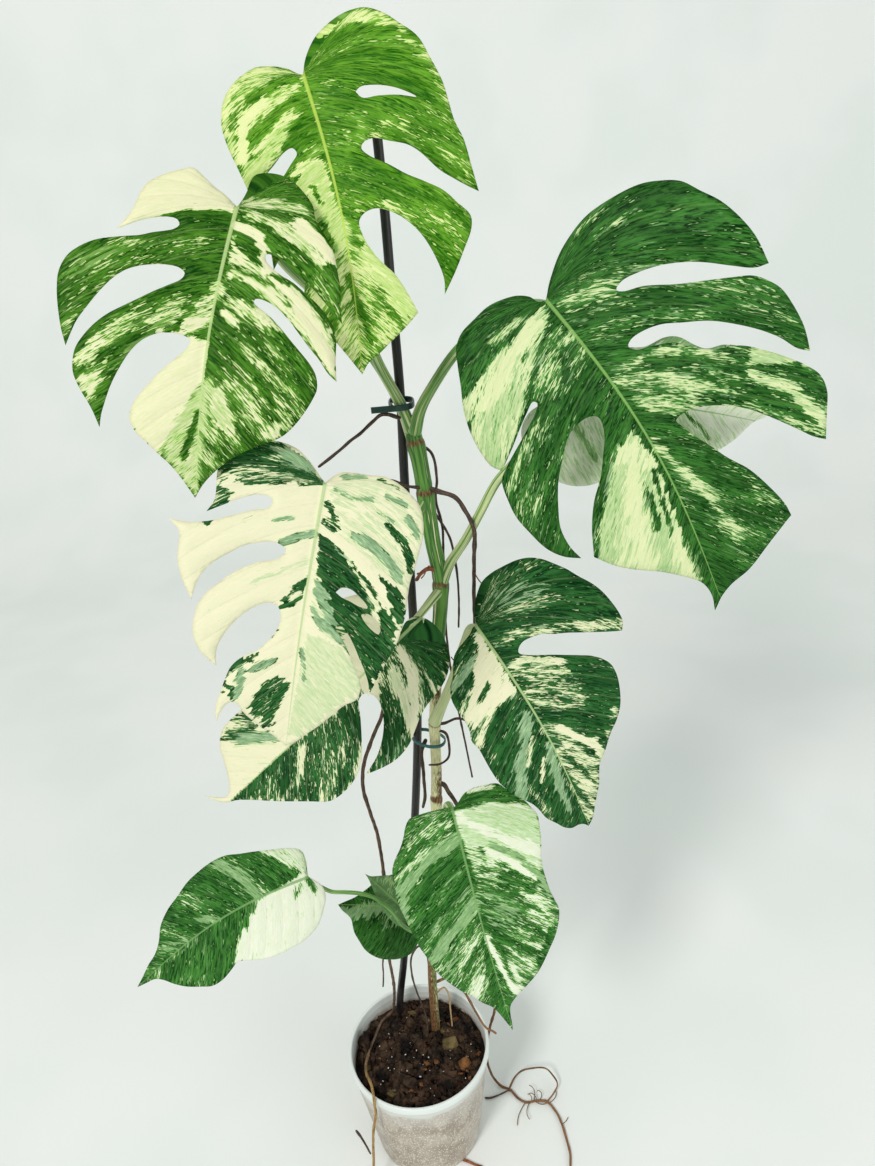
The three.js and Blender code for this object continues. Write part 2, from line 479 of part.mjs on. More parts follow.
// What is left of a piece once its neighbours' room is taken from it
function cutBy(solid, neighbours) {
  const left = neighbours.reduce((rest, other) => rest.subtract(other), solid);
  const bodies = left.decompose();
  return bodies.reduce((largest, body) => (body.volume() > largest.volume() ? body : largest));
}

/*
 * The bent blade as a function: place(across, down) is the middle of its
 * thickness. The midrib is a circular arc in the plane of the chord and the
 * blade's upward direction. On each side the blade leaves it at the fold angle
 * and falls back with an even curl.
 */
function bladeShape(leaf) {
  const joint = new THREE.Vector3(...leaf.joint);
  const chord = new THREE.Vector3(...leaf.tip).sub(joint);
  const along = chord.clone().normalize();
  const toWindow = WINDOW.clone().sub(joint.clone().addScaledVector(chord, 0.5)).normalize();
  const facing = toWindow.addScaledVector(along, -toWindow.dot(along)).normalize();
  const roll = radians(leaf.roll);
  const up = facing.clone().multiplyScalar(Math.cos(roll));
  up.addScaledVector(facing.clone().cross(along), Math.sin(roll));
  const side = up.clone().cross(along);
  const half = radians(leaf.droop) / 2;
  const length = (chord.length() * half) / Math.sin(half);
  const bend = (2 * half) / length;

  return (across, down) => {
    const arc = Math.min(Math.max(down, 0), length);
    const angle = half - bend * arc;
    const past = down - arc;
    const run = (Math.sin(half) - Math.sin(angle)) / bend + past * Math.cos(angle);
    const rise = (Math.cos(angle) - Math.cos(half)) / bend + past * Math.sin(angle);
    const upHere = up.clone().multiplyScalar(Math.cos(angle));
    upHere.addScaledVector(along, -Math.sin(angle));
    const sweep = leaf.bow * Math.sin((Math.PI * arc) / length);
    const out = across - sweep;
    const sign = out < 0 ? 0 : 1;
    const fold = radians(leaf.fold[sign]);
    const curl = radians(leaf.curl[sign]) / 100;
    const reach = Math.abs(out);
    const sideways = (Math.sin(fold) - Math.sin(fold - curl * reach)) / curl;
    const lift = (Math.cos(fold - curl * reach) - Math.cos(fold)) / curl;
    return joint
      .clone()
      .addScaledVector(along, run)
      .addScaledVector(up, rise)
      .addScaledVector(side, sweep + Math.sign(out) * sideways)
      .addScaledVector(upHere, lift);
  };
}

function bladeNormal(place, across, down) {
  const reach = 1;
  const downwards = place(across, down + reach).sub(place(across, down - reach));
  const sideways = place(across + reach, down).sub(place(across - reach, down));
  return downwards.cross(sideways).normalize();
}

// Less than this counts as nothing in the flat triangulation
const TINY = 1e-6;

// Twice the area of a flat triangle, positive where its corners turn left
const turned = (a, b, c) => (b.x - a.x) * (c.y - a.y) - (b.y - a.y) * (c.x - a.x);

// True where d lies inside the circle through a, b and c
function insideCircle(a, b, c, d) {
  const rows = [a, b, c].map((p) => [p.x - d.x, p.y - d.y, (p.x - d.x) ** 2 + (p.y - d.y) ** 2]);
  return new THREE.Matrix3().set(...rows.flat()).determinant() > TINY;
}

// Turns shared edges of slender faces until each face is as full as it can be
function fillOut(points, faces) {
  for (let changed = true; changed; ) {
    changed = false;
    const owner = new Map();
    faces.forEach((face, index) => {
      face.forEach((start, corner) => owner.set(`${start},${face[(corner + 1) % 3]}`, index));
    });
    const touched = new Set();
    for (const [edge, first] of owner) {
      const [a, b] = edge.split(",").map(Number);
      const second = owner.get(`${b},${a}`);
      if (second === undefined || touched.has(first) || touched.has(second)) continue;
      const c = faces[first].find((corner) => corner !== a && corner !== b);
      const d = faces[second].find((corner) => corner !== a && corner !== b);
      const [pa, pb, pc, pd] = [a, b, c, d].map((corner) => points[corner]);
      const convex = turned(pa, pd, pc) > TINY && turned(pd, pb, pc) > TINY;
      if (!convex || !insideCircle(pa, pb, pc, pd)) continue;
      faces[first] = [a, d, c];
      faces[second] = [d, b, c];
      touched.add(first).add(second);
      changed = true;
    }
  }
}

function distanceToEdge(point, a, b) {
  const edge = new THREE.Line3(new THREE.Vector3(a.x, a.y, 0), new THREE.Vector3(b.x, b.y, 0));
  const target = new THREE.Vector3(point.x, point.y, 0);
  return edge.closestPointToPoint(target, true, new THREE.Vector3()).distanceTo(target);
}

// Points of an even triangular grid that lie well inside the outline
function innerPoints(loops) {
  const box = new THREE.Box2().setFromPoints(loops[0]);
  const rowHeight = BLADE_GRID * Math.sqrt(0.75);
  const found = [];
  for (let row = 0; box.min.y + row * rowHeight < box.max.y; row++) {
    const shift = (row % 2) * 0.5 * BLADE_GRID;
    for (let x = box.min.x + shift; x < box.max.x; x += BLADE_GRID) {
      const point = new THREE.Vector2(x + 0.37, box.min.y + row * rowHeight + 0.29);
      let inside = false;
      let near = Infinity;
      for (const loop of loops) {
        loop.forEach((a, index) => {
          const b = loop[(index + 1) % loop.length];
          near = Math.min(near, distanceToEdge(point, a, b));
          const crosses = a.y > point.y !== b.y > point.y;
          if (crosses && point.x < a.x + ((b.x - a.x) * (point.y - a.y)) / (b.y - a.y)) {
            inside = !inside;
          }
        });
      }
      if (inside && near > BLADE_GRID_MARGIN) found.push(point);
    }
  }
  return found;
}

// The flat blade as points and faces that turn left
function flatBlade(leaf) {
  const right = leaf.right.flatMap((margin) => margin.slice(0, -1));
  const left = leaf.left.flatMap((margin) => margin.slice(0, -1));
  const drip = leaf.right.at(-1).at(-1);
  const outline = [...right, drip, ...left.slice(1).reverse()];
  const loops = [outline, ...leaf.holes].map((loop) =>
    loop.map(([across, down]) => new THREE.Vector2(across, down)),
  );
  const faces = THREE.ShapeUtils.triangulateShape(loops[0], loops.slice(1));
  const points = loops.flat();
  const leftward = faces.map(([a, b, c]) =>
    turned(points[a], points[b], points[c]) > 0 ? [a, b, c] : [a, c, b],
  );
  for (const point of innerPoints(loops)) {
    const corner = points.push(point) - 1;
    const index = leftward.findIndex(([a, b, c]) =>
      [[a, b], [b, c], [c, a]].every(([from, to]) => turned(points[from], points[to], point) > 0),
    );
    if (index < 0) continue;
    const [a, b, c] = leftward[index];
    leftward.splice(index, 1, [a, b, corner], [b, c, corner], [c, a, corner]);
  }
  fillOut(points, leftward);
  return { points, faces: leftward };
}

// A leaf blade of even thickness
function blade(leaf, thickness) {
  const place = bladeShape(leaf);
  const { points, faces } = flatBlade(leaf);
  const count = points.length;
  const corners = [];
  for (const side of [0.5, -0.5]) {
    for (const { x, y } of points) {
      const corner = place(x, y).addScaledVector(bladeNormal(place, x, y), side * thickness);
      corners.push(...corner.toArray());
    }
  }
  const edges = new Set(faces.flatMap(([a, b, c]) => [`${a},${b}`, `${b},${c}`, `${c},${a}`]));
  const index = [];
  for (const [a, b, c] of faces) {
    index.push(a, c, b, a + count, b + count, c + count);
    for (const [from, to] of [[a, b], [b, c], [c, a]]) {
      if (edges.has(`${to},${from}`)) continue;
      index.push(from, to, to + count, from, to + count, from + count);
    }
  }
  const geometry = new THREE.BufferGeometry();
  geometry.setAttribute("position", new THREE.Float32BufferAttribute(corners, 3));
  geometry.setIndex(index);
  return solidOf(geometry);
}

const curveThrough = (path) =>
  new THREE.CatmullRomCurve3(
    path.map((point) => new THREE.Vector3(...point)),
    false,
    "centripetal",
  );

// A round tube along a path, narrowed evenly towards its far end
function tube(path, radius, { sides, step: stepLength, taper }) {
  const curve = curveThrough(path);
  const steps = Math.max(FEWEST_STEPS, Math.round(curve.getLength() / stepLength));
  const ring = Array.from({ length: sides }, (_, side) => {
    const angle = (2 * Math.PI * side) / sides;
    return new THREE.Vector2(radius * Math.cos(angle), radius * Math.sin(angle));
  });
  const geometry = new THREE.ExtrudeGeometry(new THREE.Shape(ring), {
    steps,
    extrudePath: curve,
    bevelEnabled: false,
  });
  const centres = curve.getSpacedPoints(steps);
  const position = geometry.getAttribute("position");
  const corner = new THREE.Vector3();
  for (let index = 0; index < position.count; index++) {
    corner.fromBufferAttribute(position, index);
    const gaps = centres.map((centre) => centre.distanceToSquared(corner));
    const step = gaps.indexOf(Math.min(...gaps));
    const scale = 1 + ((taper - 1) * step) / steps;
    corner.sub(centres[step]).multiplyScalar(scale).add(centres[step]);
    position.setXYZ(index, corner.x, corner.y, corner.z);
  }
  return solidOf(geometry);
}

// The same path with both ends carried on by a little
function lengthened(path, extra) {
  const carry = (end, next) =>
    new THREE.Vector3(...end)
      .addScaledVector(new THREE.Vector3(...end).sub(new THREE.Vector3(...next)).normalize(), extra)
      .toArray();
  return [carry(path[0], path[1]), ...path.slice(1, -1), carry(path.at(-1), path.at(-2))];
}

// A tube, and the room that its neighbours leave for it
const pair = (path, radius, facets) => ({
  solid: tube(path, radius, facets),
  room: tube(lengthened(path, SEAT), radius + SEAT, facets),
});

const lathe = (profile) =>
  solidOf(
    new THREE.LatheGeometry(
      profile.map(([radius, height]) => new THREE.Vector2(radius, height)),
      POT_SIDES,
    ).rotateX(Math.PI / 2),
  );

const potOuter = (height) =>
  POT_BASE_RADIUS +
  ((POT_RIM_RADIUS - RIM_BAND_DEPTH - POT_BASE_RADIUS) * height) / (POT_HEIGHT - RIM_BAND_HEIGHT);

const potInner = (height) => potOuter(height) - POT_WALL;

// The pot, grown by extra on every side
function potSolid(extra) {
  const bandBottom = POT_HEIGHT - RIM_BAND_HEIGHT;
  const top = POT_HEIGHT + extra;
  const outline = [
    [0, -extra],
    [POT_BASE_RADIUS - POT_FOOT_RADIUS, -extra],
    [potOuter(POT_FOOT_RADIUS) + extra, POT_FOOT_RADIUS],
    [potOuter(bandBottom) + extra, bandBottom - extra],
    [POT_RIM_RADIUS + extra, bandBottom + RIM_BAND_DEPTH],
    [POT_RIM_RADIUS + extra, top - RIM_BAND_DEPTH],
    [POT_RIM_RADIUS - RIM_BAND_DEPTH, top],
    [potInner(POT_HEIGHT) - extra, top],
    [potInner(POT_FOOT_RADIUS) - extra, POT_FOOT_RADIUS + POT_FLOOR + extra],
    [potInner(0) - POT_FOOT_RADIUS, POT_FLOOR + extra],
    [0, POT_FLOOR + extra],
  ];
  const holes = Array.from({ length: DRAIN_HOLE_COUNT }, (_, index) => {
    const angle = (2 * Math.PI * (index + 0.5)) / DRAIN_HOLE_COUNT;
    const drill = new THREE.CylinderGeometry(
      DRAIN_HOLE_RADIUS,
      DRAIN_HOLE_RADIUS,
      POT_FLOOR * 4,
      DRAIN_HOLE_SIDES,
    );
    drill.rotateX(Math.PI / 2);
    drill.translate(DRAIN_HOLE_RING * Math.cos(angle), DRAIN_HOLE_RING * Math.sin(angle), 0);
    return solidOf(drill);
  });
  return cutBy(lathe(outline), holes);
}

// The mix fills the pot up to a low mound; its top is raised by extra
function soilSolid(extra) {
  const shoulder = SOIL_TOP - SOIL_CROWN + extra;
  return lathe([
    [0, SOIL_BOTTOM],
    [potInner(0) - POT_FOOT_RADIUS - SEAT, SOIL_BOTTOM],
    [potInner(POT_FOOT_RADIUS) - 2 * SEAT, POT_FOOT_RADIUS + POT_FLOOR + SEAT],
    [potInner(shoulder) - SEAT, shoulder],
    [potInner(shoulder) - 8, shoulder + 2],
    [36, SOIL_TOP + extra],
    [18, SOIL_TOP + 1 + extra],
    [0, SOIL_TOP + 1.5 + extra],
  ]);
}

// A flat band round the stake and the stem, from its outer and inner outlines
function bandSolid({ outer, inner, level, height }) {
  const corners = (outline) => outline.map(([x, y]) => new THREE.Vector2(x, y));
  const shape = new THREE.Shape(corners(outer));
  shape.holes.push(new THREE.Path(corners(inner)));
  const band = new THREE.ExtrudeGeometry(shape, { depth: height, bevelEnabled: false });
  return solidOf(band.translate(0, 0, level));
}

function barkSolid({ centre, half, turn }) {
  const lump = new THREE.IcosahedronGeometry(1, 1);
  lump.scale(...half);
  lump.rotateZ(radians(turn));
  lump.translate(...centre);
  return solidOf(lump);
}

const pieces = new Map();
const keep = (name, solid, looks) => pieces.set(name, { solid, looks });

const stem = pair(STEM, STEM_RADIUS, STEM_FACETS);
const stake = pair(STAKE, STAKE_RADIUS, STAKE_FACETS);
keep("stem", stem.solid, MATERIALS.stalk);
keep("stake", stake.solid, MATERIALS.stake);

const rooms = [stem.room, stake.room];
for (const [name, leaf] of Object.entries(LEAVES)) {
  const looks = ["middle", "behind_right"].includes(name) ? MATERIALS.pale_leaf : MATERIALS.leaf;
  keep(`leaf_${name}`, blade(leaf, BLADE_THICKNESS), looks);
}

for (const [name, { radius, path, onFace }] of Object.entries(STALKS)) {
  const leaf = LEAVES[name];
  const place = bladeShape(leaf);
  const away = (onFace ? 0.5 : -0.5) * radius;
  const end = place(0, 5).addScaledVector(bladeNormal(place, 0, 5), away);
  const stalk = pair([...path, end.toArray()], radius, STALK_FACETS);
  const ownBlade = blade(leaf, BLADE_THICKNESS + 2 * SEAT);
  keep(`stalk_${name}`, cutBy(stalk.solid, [...rooms, ownBlade]), MATERIALS.stalk);
  rooms.push(stalk.room);
}

const potRoom = potSolid(SEAT);
for (const [name, { radius, path }] of Object.entries(ROOTS)) {
  const root = pair(path, radius, ROOT_FACETS);
  const looks = path.at(-1)[2] < SOIL_TOP ? MATERIALS.pale_root : MATERIALS.root;
  keep(name, cutBy(root.solid, [...rooms, potRoom]), looks);
  rooms.push(root.room);
}

keep("pot", potSolid(0), MATERIALS.pot);
keep("soil", cutBy(soilSolid(0), rooms), MATERIALS.soil);
for (const [name, lump] of Object.entries(BARK)) {
  keep(name, cutBy(barkSolid(lump), [...rooms, potRoom, soilSolid(SEAT)]), MATERIALS.soil);
}

keep("clip", cutBy(bandSolid(CLIP), rooms), MATERIALS.clip);
keep("twist_tie", cutBy(bandSolid(TWIST_TIE), rooms), MATERIALS.twine);

const plant = new THREE.Group();
for (const [name, { solid, looks }] of pieces) {
  const mesh = new THREE.Mesh(geometryOf(solid), looks.clone());
  mesh.name = name;
  plant.add(mesh);
}

export default plant;
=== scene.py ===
import math

import bmesh
import bpy
import numpy as np
from mathutils import Matrix
from mathutils.geometry import delaunay_2d_cdt


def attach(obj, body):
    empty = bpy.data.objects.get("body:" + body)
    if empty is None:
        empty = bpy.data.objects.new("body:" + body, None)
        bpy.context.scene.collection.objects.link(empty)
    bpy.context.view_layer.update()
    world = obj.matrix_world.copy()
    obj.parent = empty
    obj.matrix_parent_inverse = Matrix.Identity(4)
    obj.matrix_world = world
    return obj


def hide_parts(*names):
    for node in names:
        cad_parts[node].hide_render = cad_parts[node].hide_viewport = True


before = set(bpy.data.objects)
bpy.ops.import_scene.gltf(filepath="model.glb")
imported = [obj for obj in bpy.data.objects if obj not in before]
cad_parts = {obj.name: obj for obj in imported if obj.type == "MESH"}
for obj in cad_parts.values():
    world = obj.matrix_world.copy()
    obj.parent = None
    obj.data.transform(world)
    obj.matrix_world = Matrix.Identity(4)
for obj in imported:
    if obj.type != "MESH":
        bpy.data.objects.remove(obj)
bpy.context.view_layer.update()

MM = 0.001

# The pot, as in the part
POT_HEIGHT = 127
POT_RIM_RADIUS = 70
POT_BASE_RADIUS = 52.5
POT_WALL = 1.8
POT_FLOOR = 2.4
POT_FOOT_RADIUS = 3
RIM_BAND_HEIGHT = 9
RIM_BAND_DEPTH = 1.6
DRAIN_HOLE_RADIUS = 4
DRAIN_HOLE_RING = 34
DRAIN_HOLE_COUNT = 8

# The growing mix
SOIL_TOP = 112
SOIL_CROWN = 4
SOIL_BOTTOM = 3

STEM_RADIUS = 6
STAKE_RADIUS = 4

# Where the photograph was taken from. Every leaf turns its face that way.
EYE = np.array([60.7, -600.6, 903.4])

# Leaves, drawn flat: across the midrib, right positive, and down it from the stalk's joint.
# Each margin runs from one sharp point to the next, from the joint to the drip tip. The
# point that two runs share is written once, at the end of the first.
LEAVES = {}
LEAVES["top"] = {
    "joint": [12, -35, 960.9], "tip": [27.6, -75, 802.3], "roll": 0, "droop": 25, "bow": 6,
    "fold": [15, 10], "curl": [25, 15],
    "right": [
        [[0, 0], [3, -9], [10, -19], [19, -25], [30, -29], [40, -29], [50, -24], [58, -17], [67, -8],
            [72, 5], [76, 19], [77, 31], [78, 42], [81, 52], [83, 66], [85, 80]],
        [[79, 76], [71, 70], [65, 65], [56, 54], [50, 49], [40, 45], [32, 42], [26, 43], [24, 46],
            [28, 51], [37, 57], [46, 64], [56, 70], [65, 76], [72, 84], [78, 92], [77, 99], [71, 109],
            [64, 120], [56, 131]],
        [[57, 123], [55, 113], [50, 100], [44, 91], [35, 83], [26, 79], [19, 80], [15, 84], [16, 93],
            [21, 104], [30, 116], [35, 127], [39, 138]],
        [[30, 145], [21, 151], [12, 157], [5, 161], [0, 167]],
    ],
    "left": [
        [[0, 0], [-3, -1], [-8, -4], [-16, -6], [-25, -6], [-34, -2], [-41, 3], [-47, 11], [-50, 22],
            [-49, 35], [-46, 47], [-43, 59]],
        [[-35, 55], [-27, 49], [-19, 42], [-14, 40], [-12, 43], [-17, 49], [-24, 57], [-30, 67],
            [-34, 78], [-37, 90], [-38, 102]],
        [[-32, 95], [-25, 88], [-17, 82], [-11, 82], [-10, 87], [-14, 96], [-20, 107], [-24, 117],
            [-26, 127]],
        [[-20, 135], [-13, 144], [-7, 154], [0, 167]],
    ],
    "holes": [
        [[27, 16], [30, 14], [39, 15], [50, 19], [60, 26], [50, 23], [39, 21], [30, 20]],
    ],
}
LEAVES["left"] = {
    "joint": [-28, -85, 897.6], "tip": [-67.9, -135, 755.8], "roll": 0, "droop": 25, "bow": -5,
    "fold": [5, 10], "curl": [15, 25],
    "right": [
        [[0, 0], [2, -4], [4, -10], [5, -16], [7, -20], [11, -22], [18, -23], [25, -22], [31, -19],
            [37, -14], [40, -10], [42, -3], [47, 4], [52, 10], [55, 16], [58, 24], [61, 33], [62.5, 41],
            [65, 50]],
        [[60, 46], [55, 42], [50, 38], [43, 33], [35, 28.5], [28, 24], [22, 22], [18.5, 22.5], [19, 26],
            [23, 29.5], [28, 32], [35, 34.5], [43, 39], [50, 43], [56, 48], [60.5, 53], [63, 60],
            [64, 70], [66, 82]],
        [[61, 79], [55, 73], [48, 67], [41.5, 61], [35, 55], [28, 50], [21, 47.5], [16.5, 47.5],
            [15.5, 49.5], [18, 51.5], [23, 54], [30, 59], [37, 65], [43, 70], [50, 76], [54, 81],
            [56, 88], [55, 93], [52, 101], [47, 110], [41, 117], [33, 122], [25, 127], [16, 134],
            [8, 143], [3, 151], [0, 159]],
    ],
    "left": [
        [[0, 0], [-7, -5], [-13, -8], [-19, -12], [-25, -15], [-32, -12], [-39, -8], [-46, -2], [-49, 4],
            [-50.5, 11], [-53, 19], [-57.5, 27.5]],
        [[-53, 24.5], [-47, 20.5], [-41, 17.5], [-34, 15], [-29, 15], [-27.5, 17.5], [-30, 20.5],
            [-34, 22.5], [-40, 25], [-46, 28], [-52, 30], [-58, 32], [-66, 35], [-73, 39.5], [-79, 46],
            [-82, 54.5], [-82, 64], [-80.5, 74], [-78, 83], [-74.5, 91]],
        [[-73, 84], [-71, 77], [-67, 69], [-62.5, 61], [-57, 53], [-51, 47], [-45, 43.5], [-38, 41],
            [-31, 39.5], [-25, 39.5], [-21.5, 41.5], [-22.5, 45], [-29, 50], [-36, 55], [-42.5, 60],
            [-49, 65], [-56, 70.5], [-62, 77], [-66.5, 84], [-69.5, 91], [-70, 97], [-69, 104],
            [-65, 111.5], [-59, 120], [-53.5, 129.5]],
        [[-53.5, 123], [-52.5, 116.5], [-50.5, 107], [-47.5, 98], [-42.5, 87], [-37.5, 80.5], [-31, 76],
            [-24, 74], [-18, 74], [-14, 75.5], [-15, 80], [-20.5, 87], [-26, 93.5], [-31, 101],
            [-36, 109], [-39, 116.5], [-39, 122.5], [-35, 128.5], [-29, 133], [-22.5, 138], [-15.5, 143],
            [-9, 149], [-4, 154.5], [0, 159]],
    ],
    "holes": [],
}
LEAVES["right"] = {
    "joint": [138.9, -70, 833], "tip": [228.6, -130, 662.9], "roll": 0, "droop": 25, "bow": 10,
    "fold": [8, 8], "curl": [15, 10],
    "right": [
        [[0, 0], [8, -9], [19, -18], [29, -23], [42, -27], [57, -27], [75, -24], [85, -19], [94, -12],
            [100, -1], [106, 10], [110, 23], [112, 36], [111, 52]],
        [[104, 50], [94, 42], [85, 34], [77, 28], [64, 21], [51, 17], [41, 16], [36, 18.5], [39, 21.5],
            [49, 25], [57, 29.5], [65, 34.5], [79, 41.5], [92, 48], [101, 53], [106, 59], [110, 67],
            [111, 77], [110, 90], [106, 104]],
        [[101, 99], [96.5, 90], [90, 81], [81, 71.5], [70, 62], [57, 54.5], [47, 49], [36, 46.5],
            [29, 47], [26, 49.5], [29, 53.5], [36, 56], [49, 62], [55, 69], [64, 76], [77, 82],
            [87, 91.5], [95, 101], [101, 109.5], [105, 118], [104.5, 128], [99, 139], [92, 151]],
        [[87, 146], [81, 137], [72, 124], [64, 114], [53, 105], [42, 99.5], [34, 98], [28, 99.5],
            [29, 103], [32, 111], [37, 121], [42, 132], [49, 144], [54, 159], [57, 173], [57, 181]],
        [[49, 185], [36, 191], [21, 199], [8, 203], [1, 206.5], [-7, 213]],
    ],
    "left": [
        [[0, 0], [-4, -1], [-7, -7], [-13, -12], [-22, -15], [-31, -16], [-41, -14], [-52, -11],
            [-59, -5], [-63, 4], [-68, 17], [-73, 28], [-77, 43], [-78, 56], [-77, 66], [-73, 72]],
        [[-66, 67.5], [-58, 62], [-50, 56], [-42, 50.5], [-36, 47], [-34, 49], [-38, 53.5], [-46, 58.5],
            [-53, 62.5], [-61, 66.8], [-69, 71.4], [-76, 77], [-79, 90], [-79.5, 100], [-77, 112],
            [-73, 127], [-67, 136], [-59, 142]],
        [[-61, 133], [-60, 120], [-54, 107], [-46, 94], [-37, 84], [-29, 76], [-20, 72], [-12, 72],
            [-8, 75], [-10, 85], [-16, 94], [-24, 105], [-35, 116], [-44, 129], [-52, 145]],
        [[-44, 155], [-33, 165], [-22, 174], [-11, 185], [-5, 193], [-4, 203], [-7, 213]],
    ],
    "holes": [],
}
LEAVES["behind_right"] = {
    "joint": [146, -20, 761], "tip": [282, -50, 741], "roll": 15, "droop": 20, "bow": 3, "fold": [5, 5],
    "curl": [15, 15],
    "right": [
        [[0, 0], [3, -10], [12, -17], [25, -14], [34, 0], [38, 20], [40, 40], [41, 58], [48, 70],
            [49, 78], [45, 90], [44, 98], [48, 108], [48.5, 116], [46, 126], [36, 133], [20, 138],
            [4, 141]],
    ],
    "left": [
        [[0, 0], [-8, -12], [-22, -16], [-38, -8], [-50, 5], [-55, 20], [-54.5, 32], [-50, 45], [-46, 60],
            [-41, 75], [-34, 92], [-24, 110], [-14, 122], [0, 134], [4, 141]],
    ],
    "holes": [],
}
LEAVES["middle"] = {
    "joint": [2, -120, 750.5], "tip": [-35.3, -170, 613.9], "roll": 0, "droop": 30, "bow": -1.5,
    "fold": [10, 10], "curl": [15, 30],
    "right": [
        [[0, 0], [4, -4.5], [8.5, -7.5], [16, -8.5], [25, -8.5], [33, -9], [39, -7.5], [45, -4.5],
            [51, 0], [55.5, 4.5], [58.5, 12], [60, 21], [59.5, 31.5], [58.5, 41], [57, 48], [56.5, 57],
            [56.5, 66], [55.5, 76], [54, 86], [51, 95], [48, 103], [45.5, 110], [42.5, 118]],
        [[42, 112], [38.5, 104], [34, 96.5], [29.5, 89], [25, 83], [21, 79.5], [18.5, 79], [18, 81.5],
            [20.5, 84.5], [25, 90], [29.5, 97.5], [34, 105], [37, 111], [37.5, 116], [36, 121],
            [30, 125.5], [24, 133], [16, 142], [10, 148], [5.5, 153], [0, 157]],
    ],
    "left": [
        [[0, 0], [-2.5, -2.5], [-6.5, -7], [-11, -11.5], [-17, -16], [-23, -18], [-29, -18.5], [-37, -18],
            [-44, -15.5], [-50, -12], [-55.5, -7.5], [-59, -2], [-60, 5], [-59, 13.5], [-59, 21],
            [-62, 27.5]],
        [[-57, 24.5], [-52, 21.5], [-46, 18], [-40, 15], [-34, 13.5], [-29, 14], [-27.5, 16.5],
            [-29.5, 20], [-37, 22.5], [-44, 25.5], [-50.5, 28.5], [-56, 31], [-62, 33], [-70, 34.5],
            [-76, 34.5], [-82, 34]],
        [[-78, 37], [-74.5, 41], [-74, 48], [-73.5, 55], [-71.5, 62], [-68, 69], [-63, 76]],
        [[-62.5, 70], [-60.5, 63], [-57, 57], [-52, 52], [-45.5, 47], [-40, 43], [-33.5, 40.5],
            [-26, 38.5], [-19.5, 39], [-16, 41.5], [-17.5, 45], [-22, 48], [-29, 50], [-37, 54],
            [-44.5, 59.5], [-51, 66], [-56, 71.5], [-59.5, 78.5], [-60.5, 86], [-60, 93.5],
            [-56.5, 101.5], [-51.5, 107], [-45, 111.5]],
        [[-46, 105.5], [-45.5, 99], [-42, 90.5], [-37, 83], [-31, 77], [-24.5, 73], [-19.5, 72],
            [-15.5, 74], [-13.5, 78.5], [-13.5, 83], [-15.5, 89], [-19.5, 95], [-24, 100], [-29, 103],
            [-33.5, 106.5], [-37, 111], [-39, 117], [-40.5, 124], [-42, 131], [-42.5, 137], [-41, 143.5]],
        [[-39.5, 138], [-37, 133], [-33.5, 131], [-30, 133], [-26, 138], [-20, 143], [-13, 148],
            [-7, 151.5], [0, 157]],
    ],
    "holes": [
        [[15, 61], [18, 58], [23, 58], [28, 61], [33, 65], [34.5, 67.5], [29, 67], [24, 65], [19, 63.5]],
        [[31, 71.5], [35, 70.5], [40, 73.5], [43.5, 78], [43, 81.5], [38, 79], [33.5, 75]],
    ],
}
LEAVES["behind_middle"] = {
    "joint": [28.7, -45, 604.6], "tip": [-98.6, -100, 518.8], "roll": 0, "droop": 25, "bow": 1,
    "fold": [5, 8], "curl": [20, 20],
    "right": [
        [[0, 0], [-3, -6], [-5.5, -13], [-4, -21], [2, -26], [8, -27.5], [18, -27], [28, -23], [36, -17],
            [42, -9], [45.5, 0], [47, 10], [48.5, 20], [51, 28], [54.5, 36], [58, 44], [59.5, 52],
            [59.5, 60], [57.5, 69], [55, 76], [52.5, 82]],
        [[51, 75], [48.5, 67], [43.5, 58], [36, 49], [28, 43], [20, 40], [14, 41], [10.5, 45], [12, 50.5],
            [20, 56.5], [28, 63], [36, 70], [43, 77], [47.5, 84], [50, 92], [50.5, 102], [48, 112],
            [40, 121], [30, 132], [20, 142], [10, 152], [3, 160], [-1, 167], [-7, 172], [-15, 175.5]],
    ],
    "left": [
        [[0, 0], [-7, -7], [-15, -14], [-26, -16], [-38, -9], [-48, 6], [-53, 25], [-55, 45], [-54, 65],
            [-50, 85], [-45, 100], [-41, 112], [-41, 121], [-40.5, 130], [-38, 136], [-32, 143],
            [-22, 148.5], [-12, 154], [-6, 159], [-4, 164], [-8, 169.5], [-15, 175.5]],
    ],
    "holes": [],
}
